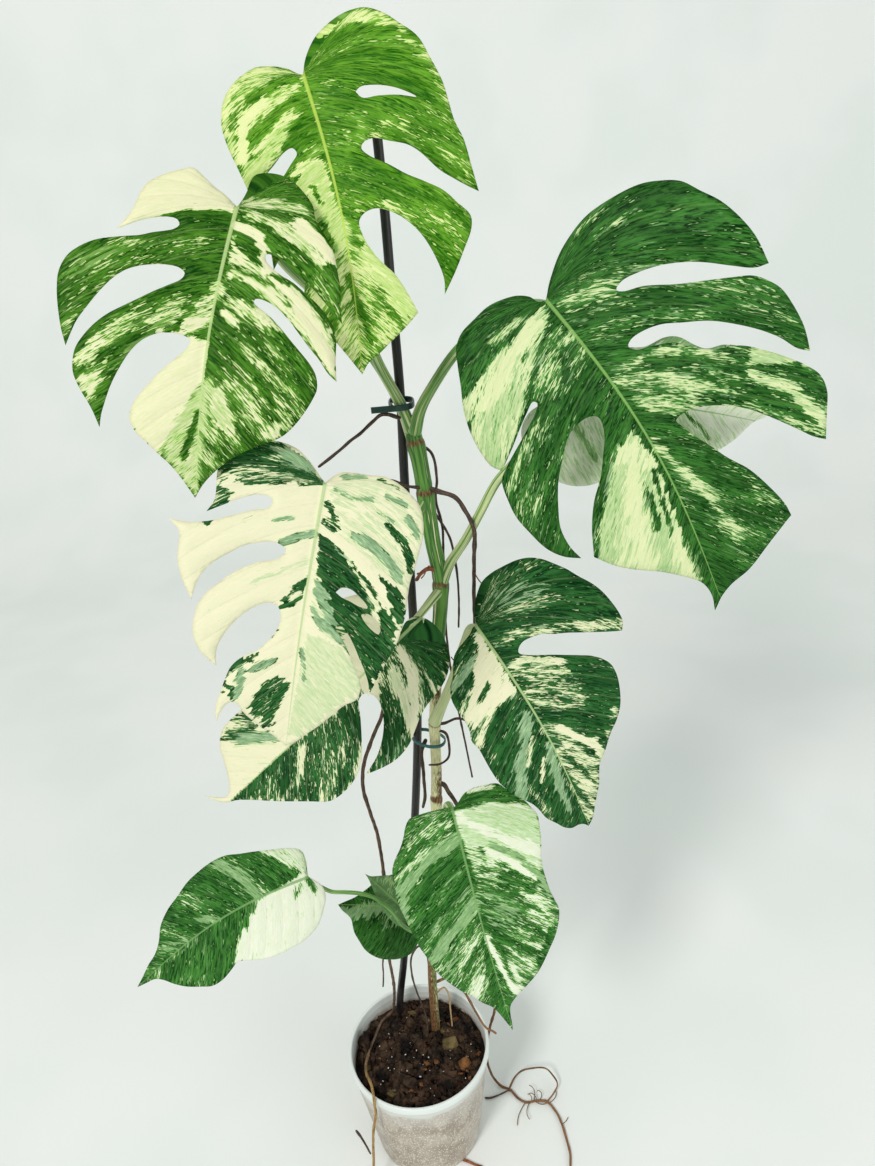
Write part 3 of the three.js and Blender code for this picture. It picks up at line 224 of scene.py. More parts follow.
LEAVES["right_low"] = {
    "joint": [85.1, -50, 612.7], "tip": [155, -100, 465], "roll": 0, "droop": 25, "bow": 6,
    "fold": [5, 5], "curl": [20, 15],
    "right": [
        [[0, 0], [0.5, -2], [3.5, -8.5], [8.5, -16], [14.5, -22], [19.5, -25.5], [28, -27.5],
            [38.5, -27.5], [49, -26.5], [57.5, -23.5], [64.5, -18.5], [71, -11], [76.5, -4], [81.5, 4.5],
            [87.5, 14], [91, 22.5], [93, 33], [93.5, 41.5], [92.5, 48], [88.5, 53.5]],
        [[84, 51.5], [78, 48.5], [69.5, 44], [61, 39.5], [52.5, 35], [45.5, 32], [38.5, 28], [30, 26],
            [23, 26], [18.5, 28.5], [17, 31.5], [21.5, 35.5], [28.5, 39.5], [37, 44], [45.5, 49],
            [54, 54], [61, 58.5], [67, 64.5], [70.5, 71.5], [70, 81], [66, 91], [61, 99.5], [54, 107.5],
            [47, 113.5], [41, 119.5], [37, 123.5], [32.5, 127], [28.5, 130.5], [25, 136.5], [21.5, 143.5],
            [16.5, 150.5], [11, 158], [6, 165], [0, 170]],
    ],
    "left": [
        [[0, 0], [-2, -0.5], [-6, 2.5], [-13, 5.5], [-19.5, 8], [-24.5, 11.5], [-28, 16.5], [-31.5, 22.5],
            [-37, 28.5], [-40.5, 36], [-41, 45], [-40, 53], [-40.5, 62], [-43, 70], [-41.5, 77.5],
            [-41.5, 86], [-41.5, 94.5], [-40.5, 105], [-38.5, 111.5], [-36, 118.5], [-31, 127],
            [-27.5, 133], [-25.5, 139], [-24, 147], [-19.5, 154.5], [-15.5, 161.5], [-11, 165], [-6, 165],
            [-2.5, 166.5], [0, 170]],
    ],
    "holes": [],
}
LEAVES["heart"] = {
    "joint": [55.9, -60, 462.1], "tip": [87.2, -120, 289.7], "roll": 0, "droop": 25, "bow": -1.5,
    "fold": [8, 8], "curl": [20, 20],
    "right": [
        [[0, 0], [2.5, -0.5], [6, -3], [11, -7.5], [18, -10], [28.5, -10], [39, -8.5], [44, -3],
            [49, 2.5], [55, 8.5], [59, 15.5], [62, 21.5], [62, 28.5], [61, 37], [59.5, 45], [57, 54],
            [55.5, 63], [55.5, 72], [56, 80], [57.5, 88], [59, 95], [58.5, 101.5], [55, 112], [50.5, 120],
            [44.5, 127], [37.5, 135], [30.5, 143], [23.5, 149.5], [14.5, 156.5], [7.5, 161.5], [3.5, 166],
            [1.5, 174], [1, 182], [0, 190]],
    ],
    "left": [
        [[0, 0], [-2, -1], [-6.5, -1.5], [-15, -2], [-25.5, -2], [-34, -1], [-38.5, 4], [-42, 11],
            [-46.5, 18], [-52.5, 25], [-56.5, 32], [-58, 41], [-59, 49.5], [-59, 60], [-57, 72],
            [-55, 82.5], [-52.5, 93], [-49, 103.5], [-47, 112], [-43, 122.5], [-37.5, 131.5],
            [-30.5, 140], [-23.5, 147], [-17, 156], [-10.5, 163], [-7, 170], [-3.5, 179.5], [-1, 187],
            [0, 190]],
    ],
    "holes": [],
}
LEAVES["low_left"] = {
    "joint": [-61, -70, 416], "tip": [-186, -130, 382], "roll": 0, "droop": 30, "bow": -9,
    "fold": [10, 0], "curl": [20, 25],
    "right": [
        [[0, 0], [4, -2.5], [11, -6], [19, -5], [28, 2], [36, 12], [39, 25], [38, 38], [35.5, 53],
            [31.5, 62.5], [27, 70], [24.5, 75], [26.5, 81], [29, 89], [29, 98], [25, 106], [19.5, 114.5],
            [13, 121], [5.5, 127], [2, 131.5], [1, 138], [0, 145.5]],
    ],
    "left": [
        [[0, 0], [-4, -1], [-9.5, -3.5], [-19, -5], [-23.5, -2], [-27, 3], [-30, 8.5], [-34, 17],
            [-38.5, 26.5], [-43.5, 38], [-47.5, 46.5], [-49, 57], [-48, 68], [-45.5, 79.5], [-40.5, 90],
            [-36, 100], [-28.5, 110], [-19, 117], [-13, 123.5], [-9.5, 130.5], [-4.5, 138], [0, 145.5]],
    ],
    "holes": [],
}
LEAVES["small_curled"] = {
    "joint": [13, -45, 341], "tip": [-19, -55, 400], "roll": 180, "droop": 15, "bow": 0, "fold": [5, 5],
    "curl": [15, 15],
    "right": [
        [[0, 0], [6, -5], [13, -5], [19, 1], [21.5, 12], [20.5, 24], [16.5, 36], [10.5, 47], [5, 55],
            [1.5, 61], [0, 68]],
    ],
    "left": [
        [[0, 0], [-5, -4], [-10, -3], [-13, 2], [-14, 10], [-13, 20], [-11, 30], [-8, 41], [-4.5, 51],
            [-1.5, 60], [0, 68]],
    ],
    "holes": [],
}
LEAVES["small_dark"] = {
    "joint": [19, -20, 318], "tip": [-45, -55, 370], "roll": 0, "droop": 25, "bow": -2, "fold": [5, 5],
    "curl": [25, 30],
    "right": [
        [[0, 0], [8, -5], [18, -4], [26, 0], [32, 5.5], [36, 12.5], [39, 22.5], [39.5, 32.5], [39, 42.5],
            [37, 51], [32.5, 60], [26, 67.5], [20, 72.5], [15, 74.5], [10.5, 76.5], [7.5, 80], [4, 86],
            [0, 90]],
    ],
    "left": [
        [[0, 0], [-12, -5], [-24, 2], [-30, 14], [-31, 28], [-28, 42], [-22, 55], [-14, 66], [-9, 72.5],
            [-6, 77.5], [-3, 84], [0, 90]],
    ],
    "holes": [],
}

# Each leaf stalk's radius, the share of it that is pale stripes, and its path to the blade
STALKS = {
    "top": (3.6, 0.4, [[53, -9, 745], [48, -12, 764], [34, -14, 799], [24, -10, 840], [17, -6, 890],
        [12, -8, 935], [11, -20, 958]]),
    "left": (3.2, 0.35, [[53, -5, 738], [46, -3, 764], [32, -4, 796], [10, -8, 830], [-14, -30, 862],
        [-26, -58, 890]]),
    "right": (3.8, 0.3, [[54, -12, 744], [60, -15, 762], [69, -19, 777], [88, -24, 801], [110, -30, 817],
        [128, -42, 827]]),
    "behind_right": (3.6, 0.5, [[63, -10, 628], [71, -12, 646], [84, -12, 664], [96, -12, 684],
        [109, -11, 705], [124, -10, 720], [138, -12, 739]]),
    "middle": (3.2, 0.3, [[58, -10, 698], [46, -22, 686], [30, -44, 686], [14, -74, 704], [4, -98, 732]]),
    "behind_middle": (3, 0.6, [[63, -12, 627], [52, -20, 618], [38, -28, 606]]),
    "right_low": (4.2, 1.1, [[47, -12, 508], [55, -18, 528], [66, -25, 556], [76, -32, 588],
        [82, -38, 604]]),
    "heart": (3.2, 0.35, [[38, -4, 374], [41, -16, 400], [47, -32, 430], [53, -46, 454]]),
    "low_left": (1.9, 0.1, [[30, 0, 276], [24, -26, 299], [16, -42, 317], [8, -52, 334], [3, -58, 349],
        [-3, -60, 365], [-13, -61, 379], [-23, -64, 388], [-35, -66, 393], [-46, -67, 396],
        [-54, -67, 402]]),
    "small_curled": (1.6, 0.1, [[25, 2, 244], [31, -12, 276], [28, -22, 308], [18, -34, 337]]),
    "small_dark": (1.6, 0.1, [[24, 3, 236], [23, -3, 262], [21, -8, 292], [19.5, -14, 308]]),
}

# Each root's radius and path
ROOTS = {
    "root_clip": (1.3, [[46, -13, 757], [38, -15, 761], [33, -15, 761], [27, -15, 757], [18, -15, 750],
        [10, -15, 745], [3, -16, 740], [-14, -16, 729]]),
    "root_over_leaf": (1.1, [[57, -12, 706], [46, -20, 711], [36, -26, 718], [24, -32, 722],
        [13, -40, 722]]),
    "root_arch": (1.7, [[60, -12, 706], [68, -15, 703], [78, -17, 699], [85, -18, 688], [90, -18, 674],
        [89, -16, 652], [87, -14, 622], [86, -10, 590]]),
    "root_right_long": (1, [[57, -6, 736], [65, -4, 728], [67, -3, 709], [65, -2, 694], [68, 2, 670],
        [67, 6, 645], [65, 8, 611], [64, 8, 575], [66, 7, 530], [71, 6, 480], [75, 4, 440]]),
    "root_right_short": (1, [[60, -6, 690], [67, -2, 676], [73, 2, 660], [76, 6, 633], [76, 9, 606],
        [74, 10, 581]]),
    "root_red": (1.6, [[61, -12, 642], [55, -15, 645], [49, -12, 640], [45, -6, 632]]),
    "root_node_right": (1.2, [[48, -10, 507], [56, -12, 508], [66, -13, 512], [73, -14, 510],
        [77, -14, 504]]),
    "root_node_hook": (1.1, [[50, -12, 502], [56, -14, 500], [58, -16, 486], [56, -18, 478],
        [49, -19, 474], [40, -19, 474]]),
    "root_stem_left": (1.6, [[40, -8, 492], [35.5, -12, 484], [35, -12, 466], [34.5, -10, 452],
        [34, -10, 436], [31, -10, 424]]),
    "root_bud": (2, [[42, -7, 446], [50, -9, 446], [54, -10, 438], [60, -10, 424], [64, -8, 408]]),
    "root_left_hanging": (1.6, [[54, -9, 566], [30, -8, 556], [15, -10, 540], [6, -12, 518],
        [-3, -13, 500], [-12, -14, 478], [-16, -12, 454], [-14, -8, 425], [-11, -2, 394], [-11, 2, 340],
        [-15, 8, 280], [-18, 10, 231], [-17, 9, 205], [-22, 28, 152], [-29, 46, 116], [-38, 38, 115.5],
        [-45, 20, 115.5], [-51, 2, 116], [-53, -14, 119], [-51, -28, 124], [-47, -39, 130],
        [-44.5, -47, 132], [-43, -54, 131.5], [-42.5, -59, 127], [-42.5, -61, 114], [-45, -61, 102],
        [-48, -61, 87], [-51, -61, 60], [-54, -61, 30], [-57, -60, 8], [-62, -62, 1.9], [-72, -66, 1.9]]),
    "root_left_thin": (0.9, [[-16, 10, 262], [-20, 12, 250], [-25, 12, 226], [-26, 11, 211],
        [-28, 10, 196]]),
    "root_stem_side": (1, [[20, 8, 232], [12, 13, 242], [3, 15, 228], [1, 15, 203], [3, 16, 181],
        [6, 18, 160], [9, 20, 138], [9, 20, 112], [9, 20, 96]]),
    "root_right_rim": (1.3, [[22, 10, 196], [38, 22, 186], [50, 24, 162], [58, 17, 146], [64, 11, 135],
        [69, 6, 130], [74, 4, 128.5], [78, 3, 125]]),
    "root_pale": (0.9, [[22, 12, 178], [30, 20, 176], [34, 22, 164], [34, 24, 138], [34, 25, 112],
        [34, 25, 98]]),
    "root_floor": (1.5, [[24, 8, 214], [38, 22, 210], [58, 36, 186], [74, 44, 150], [80, 46, 122],
        [79, 46, 104], [73, 47, 80], [68, 46, 51], [67, 43, 30], [72, 39, 10], [80, 34, 1.7],
        [89, 29, 1.7], [95, 20, 1.7], [104, 13.5, 1.7], [116, 14, 1.7], [126, 12, 1.7], [134, 0, 1.7],
        [138, -14, 1.7], [140, -30, 1.7], [141, -44, 1.7], [139, -58, 1.7]]),
    "root_floor_loop": (1, [[88, 30, 3], [94, 37, 8], [102, 41, 13], [114, 41.5, 16], [129, 40, 16],
        [135, 36, 12], [140, 27, 7], [134, 19, 3.5], [127, 13, 1.6]]),
    "root_floor_stub": (1, [[60.5, 23, 1.2], [66, 22.5, 1.2], [74, 24, 1.3], [88, 29, 1.6]]),
    "root_under_pot": (1.3, [[32, -40, 1.5], [37, -42, 1.5], [44, -46, 1.5], [52, -49, 1.5]]),
    "root_side_twig": (1.1, [[-65, -56, 86], [-60, -58, 75], [-54, -61, 56]]),
}

# Large pieces of bark: centre, half of each side, and turn about +Z in degrees
BARK = {
    "bark_slab": ([-53, 14, 117], [2.5, 9, 8], 12),
    "bark_by_stem": ([31, 4, 115.5], [8, 6, 4], 20),
    "bark_front": ([-10, -34, 116], [7, 5, 3.5], -25),
    "bark_right": ([44, -18, 114], [6, 5, 3.5], 40),
}

# Middle lines of the stem and of the stake
STEM = [[15, 26, 84], [17, 24, 112], [19, 14, 167], [22, 6, 224], [31, 0, 311], [38, -4, 372],
    [43, -7, 429], [46, -9, 466], [48, -10, 506], [56, -10, 574], [63, -10, 631], [60, -10, 665],
    [58, -10, 700], [56, -10, 726], [53, -9, 748]]

STAKE = [[-20, 45, 30], [-20, 49, 112], [-7, 36, 201], [13, 20, 332], [22, 12, 396], [32, 4, 481],
    [36, 1, 526], [41, 1, 631], [44, 2, 710], [47, 3, 767], [48, 4, 833], [49, 4, 887], [49, 4, 940]]

# How much of a mark is cream, and how much of it is muted to grey-green or lime
TONES = {
    "green": (-0.1, 0.0), "dark": (0.04, 0.04), "flecked": (0.19, 0.12), "streaked": (0.35, 0.2),
    "marbled": (0.52, 0.3), "mottled": (0.12, 0.5), "pale": (0.78, 0.45), "speckled": (0.7, 0.95),
    "lime": (1.15, 0.85), "washed": (1.1, 0.5), "smooth": (1.3, 0.3), "lower": (1.3, 0.9),
    "sage": (0.06, 1.0), "cream": (1.15, 0.1), "solid": (1.3, -0.3),
}

# Marks on each blade in the order they are laid on: tone, half width and points as
# [across, down]. Half width 0 fills the outline that the points make. The first tone is the ground.
MARKS = {}
MARKS["top"] = ["flecked", [
    ("marbled", 0, [[0, -2], [-25, -9], [-43, 1], [-54, 22], [-48, 60], [-20, 44], [-8, 22]]),
    ("pale", 2.5, [[-18, -5], [-36, -1], [-46, 10], [-49, 24], [-46, 40]]),
    ("cream", 2.4, [[-24, 14], [-38, 24], [-42, 44]]),
    ("speckled", 3.5, [[-18, 32], [-30, 44], [-40, 56]]),
    ("green", 2.2, [[-5, 2], [-16, 5], [-32, 12]]),
    ("green", 2.6, [[-4, 13], [-18, 20], [-36, 36]]),
    ("green", 4, [[-3, 28], [-15, 40]]),
    ("flecked", 0, [[-12, 46], [-34, 76], [-40, 104], [-12, 84], [-14, 62]]),
    ("lime", 0, [[-14, 51], [-1, 47], [3, 60], [2, 76], [-9, 77], [-15, 63]]),
    ("speckled", 0, [[-12, 76], [5, 73], [9, 90], [7, 108], [-8, 108]]),
    ("green", 1.5, [[-8, 62], [-4, 72]]),
    ("green", 2, [[-6, 82], [-3, 96]]),
    ("marbled", 3.5, [[14, -20], [30, -25], [46, -22], [60, -12]]),
    ("green", 2.6, [[16, -13], [34, -17], [52, -12]]),
    ("green", 0, [[12, -4], [40, -8], [62, 2], [72, 22], [58, 22], [38, 12], [18, 10]]),
    ("streaked", 3.5, [[66, -6], [75, 16], [77, 40]]),
    ("green", 3.5, [[12, 22], [34, 24], [58, 31]]),
    ("streaked", 3, [[38, 36], [62, 50], [80, 74]]),
    ("green", 4, [[8, 46], [30, 54], [56, 74]]),
    ("streaked", 4, [[34, 80], [50, 98], [57, 122]]),
    ("marbled", 0, [[0, 98], [16, 96], [26, 120], [28, 146], [10, 158], [0, 166], [-24, 134],
        [-22, 112]]),
    ("lime", 0, [[17, 88], [24, 103], [33, 118], [41, 138], [31, 145], [24, 126], [15, 104]]),
    ("green", 1.6, [[3, 112], [9, 150]]),
    ("green", 1.8, [[-4, 118], [-12, 138]]),
]]
MARKS["left"] = ["dark", [
    ("solid", 0, [[-2, 3], [-25, 8], [-30, 11], [-50, 22], [-58, 29], [-64, 12], [-50, -24], [-20, -24],
        [0, -8]]),
    ("flecked", 0, [[-14, 22], [-57, 32], [-84, 55], [-76, 94], [-51, 47], [-22, 38]]),
    ("mottled", 4, [[-56, 38], [-74, 50], [-76, 66]]),
    ("streaked", 3, [[-72, 58], [-76, 86]]),
    ("streaked", 3, [[-14, 24], [-34, 30], [-60, 34]]),
    ("marbled", 4, [[-3, 46], [-14, 66]]),
    ("pale", 2.5, [[-6, 62], [-16, 70]]),
    ("streaked", 0, [[-16, 52], [-40, 60], [-60, 80], [-70, 96], [-64, 112], [-58, 122], [-52, 96],
        [-40, 76], [-22, 68]]),
    ("marbled", 3, [[-62, 88], [-62, 112]]),
    ("mottled", 3, [[-26, 70], [-44, 88], [-52, 112]]),
    ("solid", 0, [[-4, 75], [-30, 74], [-43, 112], [-42, 126], [-24, 142], [-19, 128], [-12, 108],
        [-5, 96]]),
    ("speckled", 0, [[-5, 96], [0, 92], [1, 157], [-14, 148], [-22, 140], [-18, 124], [-12, 108]]),
    ("green", 1.6, [[-5, 112], [-9, 138]]),
    ("flecked", 0, [[0, -7], [34, -14], [50, 4], [60, 40], [24, 22], [0, 12]]),
    ("marbled", 3, [[5, -2], [18, -5], [34, -6]]),
    ("marbled", 2.4, [[8, 4], [26, 6], [42, 12]]),
    ("dark", 0, [[3, -6], [6, -23], [26, -25], [43, -8], [30, -9], [10, -9]]),
    ("cream", 3.5, [[34, 3], [44, 9], [55, 18]]),
    ("pale", 3, [[22, 8], [34, 12], [48, 20]]),
    ("flecked", 4, [[26, 16], [42, 27], [62, 46]]),
    ("cream", 2.4, [[1, 11], [8, 12], [15, 15]]),
    ("pale", 0, [[0, 15], [20, 25], [60, 54], [68, 84], [41, 62], [17, 48], [0, 40]]),
    ("cream", 3, [[14, 20], [21, 30]]),
    ("dark", 4, [[5, 19], [13, 25]]),
    ("cream", 3.6, [[22, 34], [40, 46], [62, 74]]),
    ("streaked", 2, [[2, 33], [20, 37], [34, 46]]),
    ("dark", 1.6, [[22, 33], [32, 36]]),
    ("dark", 3, [[4, 42], [12, 44], [21, 49]]),
    ("streaked", 2.4, [[24, 50], [42, 63], [60, 79]]),
    ("marbled", 0, [[1, 50], [18, 50], [34, 60], [28, 66], [12, 62], [3, 66]]),
    ("cream", 2, [[1, 58], [14, 66]]),
    ("streaked", 0, [[2, 67], [20, 62], [44, 72], [58, 88], [50, 108], [34, 122], [18, 118], [3, 100]]),
    ("dark", 3, [[6, 74], [22, 86], [38, 104]]),
    ("dark", 2.6, [[30, 66], [44, 80], [52, 96]]),
    ("marbled", 3.4, [[16, 74], [32, 90], [44, 112]]),
    ("pale", 3, [[34, 118], [42, 110]]),
    ("lime", 0, [[0, 98], [6, 99], [16, 118], [12, 124], [4, 116]]),
    ("streaked", 0, [[1, 118], [20, 118], [18, 134], [2, 156]]),
]]
MARKS["right"] = ["dark", [
    ("flecked", 0, [[2, 2], [40, -4], [70, 22], [112, 60], [106, 104], [60, 56], [10, 40]]),
    ("streaked", 1.8, [[34, -22], [50, -23], [70, -18]]),
    ("streaked", 1.8, [[40, -12], [60, -13], [80, -10]]),
    ("dark", 0, [[10, -8], [50, -8], [100, 0], [112, 50], [86, 32], [40, 4]]),
    ("streaked", 2.2, [[20, 8], [44, 13], [80, 28]]),
    ("dark", 0, [[-2, -1], [-8, -14], [-36, -20], [-66, -6], [-82, 30], [-73, 27], [-55, 20], [-40, 13],
        [-24, 9], [-12, 3]]),
    ("pale", 0, [[-2, 4], [-14, 4], [-24, 9], [-40, 13], [-55, 20], [-74, 27], [-82, 58], [-76, 74],
        [-56, 60], [-38, 44], [-30, 34], [-18, 22], [-4, 14]]),
    ("cream", 4, [[-14, 9], [-36, 20], [-60, 34]]),
    ("speckled", 5, [[-46, 38], [-70, 52], [-74, 68]]),
    ("marbled", 2.6, [[-40, 4], [-26, 2], [-16, 4]]),
    ("streaked", 0, [[-6, 16], [4, 22], [6, 46], [-14, 54], [-34, 48], [-38, 42], [-24, 28]]),
    ("flecked", 0, [[-34, 52], [-76, 77], [-79, 100], [-73, 127], [-59, 142], [-60, 120], [-37, 84],
        [-20, 72]]),
    ("marbled", 3, [[-40, 60], [-58, 72], [-74, 84]]),
    ("streaked", 3, [[-64, 92], [-68, 118]]),
    ("dark", 0, [[-12, 54], [4, 54], [6, 92], [-8, 94], [-18, 80]]),
    ("flecked", 4, [[-10, 98], [-30, 118], [-48, 142]]),
    ("washed", 0, [[4, 92], [7, 112], [2, 140], [-8, 196], [-30, 172], [-52, 150], [-26, 116], [-8, 98]]),
    ("cream", 4, [[-2, 100], [-14, 124], [-24, 148], [-28, 166]]),
    ("speckled", 4.5, [[-14, 108], [-32, 130], [-46, 148]]),
    ("lime", 5, [[0, 120], [-8, 146], [-18, 172]]),
    ("marbled", 2.6, [[-6, 122], [-14, 150]]),
    ("dark", 2, [[-5, 128], [-10, 148]]),
    ("dark", 1.6, [[3, 118], [-2, 140], [-6, 158]]),
    ("cream", 2.4, [[-4, 158], [-10, 184]]),
    ("dark", 3, [[7, 130], [3, 160], [1, 204]]),
    ("streaked", 2, [[-2, 164], [-5, 190]]),
    ("streaked", 5, [[8, 10], [30, 18]]),
    ("streaked", 3, [[48, 26], [70, 36], [84, 44]]),
    ("marbled", 2, [[20, 22], [44, 32]]),
    ("flecked", 0, [[52, 36], [100, 50], [112, 70], [108, 96], [90, 76], [60, 52]]),
    ("streaked", 2, [[60, 46], [86, 62], [104, 84]]),
    ("dark", 3, [[30, 30], [58, 40], [84, 62]]),
    ("streaked", 0, [[12, 54], [58, 64], [106, 110], [106, 145], [92, 153], [60, 112], [30, 97],
        [14, 84]]),
    ("marbled", 4, [[12, 62], [34, 76], [50, 92]]),
    ("dark", 2.4, [[30, 62], [56, 78], [80, 104]]),
    ("lime", 3, [[80, 92], [94, 99], [108, 110]]),
    ("pale", 3, [[74, 98], [90, 118], [96, 146]]),
    ("dark", 2.4, [[96, 106], [104, 128]]),
    ("dark", 2.4, [[70, 106], [86, 132]]),
    ("flecked", 0, [[8, 100], [30, 104], [56, 165], [57, 184], [20, 200], [8, 150]]),
    ("marbled", 3, [[12, 104], [22, 140], [26, 176]]),
    ("dark", 5, [[20, 110], [38, 150]]),
    ("streaked", 3, [[34, 112], [50, 150], [54, 176]]),
]]
# This blade lies in the right leaf's shadow. Its pale ground and washed patches are partly its own cream
# and partly painted light: the glow of light shining through the blade is painted into its colour.
MARKS["behind_right"] = ["smooth", [
    ("washed", 0, [[-52, 12], [-12, 12], [-12, 42], [-54, 42]]),
    ("sage", 2.5, [[-16, 20], [-36, 36]]),
    ("sage", 8, [[2, -14], [30, -6]]),
    ("streaked", 5, [[2, -16], [16, -9]]),
    ("lime", 5, [[-8, 82], [-22, 104]]),
    ("mottled", 2.4, [[0, 88], [-14, 106]]),
    ("sage", 0, [[30, -12], [44, 20], [53, 78], [50, 126], [36, 136], [42, 60]]),
    ("washed", 6, [[20, 20], [34, 60]]),
]]
MARKS["middle"] = ["solid", [
    ("streaked", 0, [[-3, -2], [-12, -12], [-30, -19], [-48, -16], [-60, -2], [-62, 20], [-66, 38],
        [-58, 28], [-50, 18], [-34, 8], [-18, 4]]),
    ("sage", 0, [[-5, -4], [-12, -12], [-28, -17], [-30, -12], [-20, -6]]),
    ("dark", 1.6, [[-28, -17], [-44, -16], [-52, -10]]),
    ("dark", 3, [[-34, -12], [-50, -8], [-58, 0]]),
    ("dark", 2, [[-1, 0], [-14, -2], [-30, -5], [-46, -4]]),
    ("dark", 1.2, [[-2, 1], [-14, 4]]),
    ("marbled", 2, [[-20, 1], [-40, 0], [-54, 6]]),
    ("dark", 1, [[-22, 5], [-36, 8], [-46, 8]]),
    ("cream", 3, [[-20, 8], [-44, 14], [-52, 10]]),
    ("dark", 2.4, [[-52, 18], [-57, 25], [-61, 33]]),
    ("sage", 2, [[-15, 23], [-24, 26]]),
    ("sage", 2.6, [[-2, 30], [-10, 33], [-19, 38]]),
    ("washed", 3, [[-4, 46], [-30, 62]]),
    ("dark", 0, [[-1, 52], [-6, 58], [-15, 68], [-15, 74], [-9, 74], [-3, 68]]),
    ("marbled", 1.4, [[-5, 64], [-10, 68]]),
    ("flecked", 0, [[-14, 78], [-20, 92], [-21, 98], [-17, 93], [-13, 84]]),
    ("dark", 0, [[-22, 101], [-36, 103], [-44, 120], [-42, 138], [-40, 124], [-32, 114]]),
    ("dark", 2, [[-37, 120], [-34, 128]]),
    ("cream", 2, [[-28, 109], [-37, 118]]),
    ("sage", 2.4, [[-31, 113], [-31, 126]]),
    ("sage", 2.6, [[-14, 104], [-24, 110]]),
    ("flecked", 0, [[-20, 118], [-12, 112], [-2, 117], [-4, 128], [-8, 140], [-9, 151], [-23, 138],
        [-24, 130]]),
    ("dark", 2, [[-18, 122], [-22, 136]]),
    ("dark", 2, [[-6, 120], [-14, 138]]),
    ("cream", 1.2, [[-3, 124], [-8, 140]]),
    ("washed", 0, [[2, 2], [10, -6], [30, -8], [44, -4], [60, 14], [60, 56], [40, 46], [20, 38],
        [10, 24]]),
    ("sage", 2, [[10, -5], [22, -7]]),
    ("sage", 1.6, [[6, 3], [18, 7], [28, 6]]),
    ("sage", 1.4, [[36, 3], [48, 6]]),
    ("sage", 1.6, [[32, 13], [42, 17]]),
    ("sage", 2.6, [[50, 14], [56, 22]]),
    ("flecked", 1.3, [[30, -7], [42, -3]]),
    ("flecked", 1, [[50, -5], [54, 2]]),
    ("dark", 2.6, [[40, 20], [48, 26], [54, 34], [56, 42]]),
    ("sage", 3.2, [[22, 28], [34, 33], [44, 42], [50, 48]]),
    ("flecked", 2.4, [[3, 12], [9, 20]]),
    ("flecked", 2.6, [[3, 22], [10, 26]]),
    ("dark", 0, [[1, 29], [9, 33], [22, 42], [30, 50], [40, 60], [46, 68], [54, 78], [55, 94], [48, 104],
        [44, 118], [36, 108], [29, 97], [20, 84], [13, 73], [9, 60], [2, 51]]),
    ("marbled", 1, [[12, 36], [20, 42]]),
    ("pale", 1.4, [[20, 44], [30, 54], [40, 66]]),
    ("cream", 2.2, [[28, 42], [40, 50], [49, 62], [52, 72]]),
    ("dark", 0, [[40, 49], [48, 52], [56, 60], [59, 80], [54, 78], [46, 64]]),
    ("flecked", 3, [[26, 78], [38, 100]]),
    ("marbled", 1.4, [[34, 62], [42, 76]]),
    ("sage", 0, [[2, 52], [7, 58], [12, 66], [20, 82], [28, 94], [16, 87], [6, 82], [2, 72]]),
    ("cream", 1, [[3, 66], [10, 76]]),
    ("lower", 0, [[2, 86], [18, 90], [30, 98], [40, 114], [22, 134], [8, 150], [0, 150]]),
    ("sage", 1.6, [[1, 96], [5, 114]]),
    ("lime", 1.2, [[22, 92], [34, 108], [36, 116]]),
]]
MARKS["behind_middle"] = ["cream", [
    ("dark", 0, [[-8, -4], [2, -30], [34, -24], [50, 4], [20, 6], [2, 2]]),
    ("streaked", 0, [[0, 2], [30, 2], [52, 10], [60, 28], [30, 30], [6, 26]]),
    ("cream", 2.6, [[6, 4], [24, 10], [44, 26]]),
    ("lime", 3, [[14, 20], [32, 26], [50, 40]]),
    ("flecked", 0, [[8, 28], [34, 30], [62, 44], [60, 76], [54, 82], [30, 46]]),
    ("mottled", 3, [[54, 48], [57, 72]]),
    ("flecked", 0, [[8, 42], [30, 62], [52, 92], [50, 114], [12, 154], [0, 166], [1, 100]]),
    ("marbled", 2, [[8, 100], [22, 118], [24, 138]]),
    ("streaked", 3, [[24, 74], [40, 98], [44, 112]]),
    ("dark", 3, [[4, 116], [4, 152]]),
    ("streaked", 0, [[-56, 20], [-30, 4], [-24, 40], [-50, 60]]),
    ("streaked", 0, [[-44, 106], [-26, 106], [-22, 128], [-38, 142]]),
    ("sage", 4, [[-10, 108], [-26, 128]]),
]]
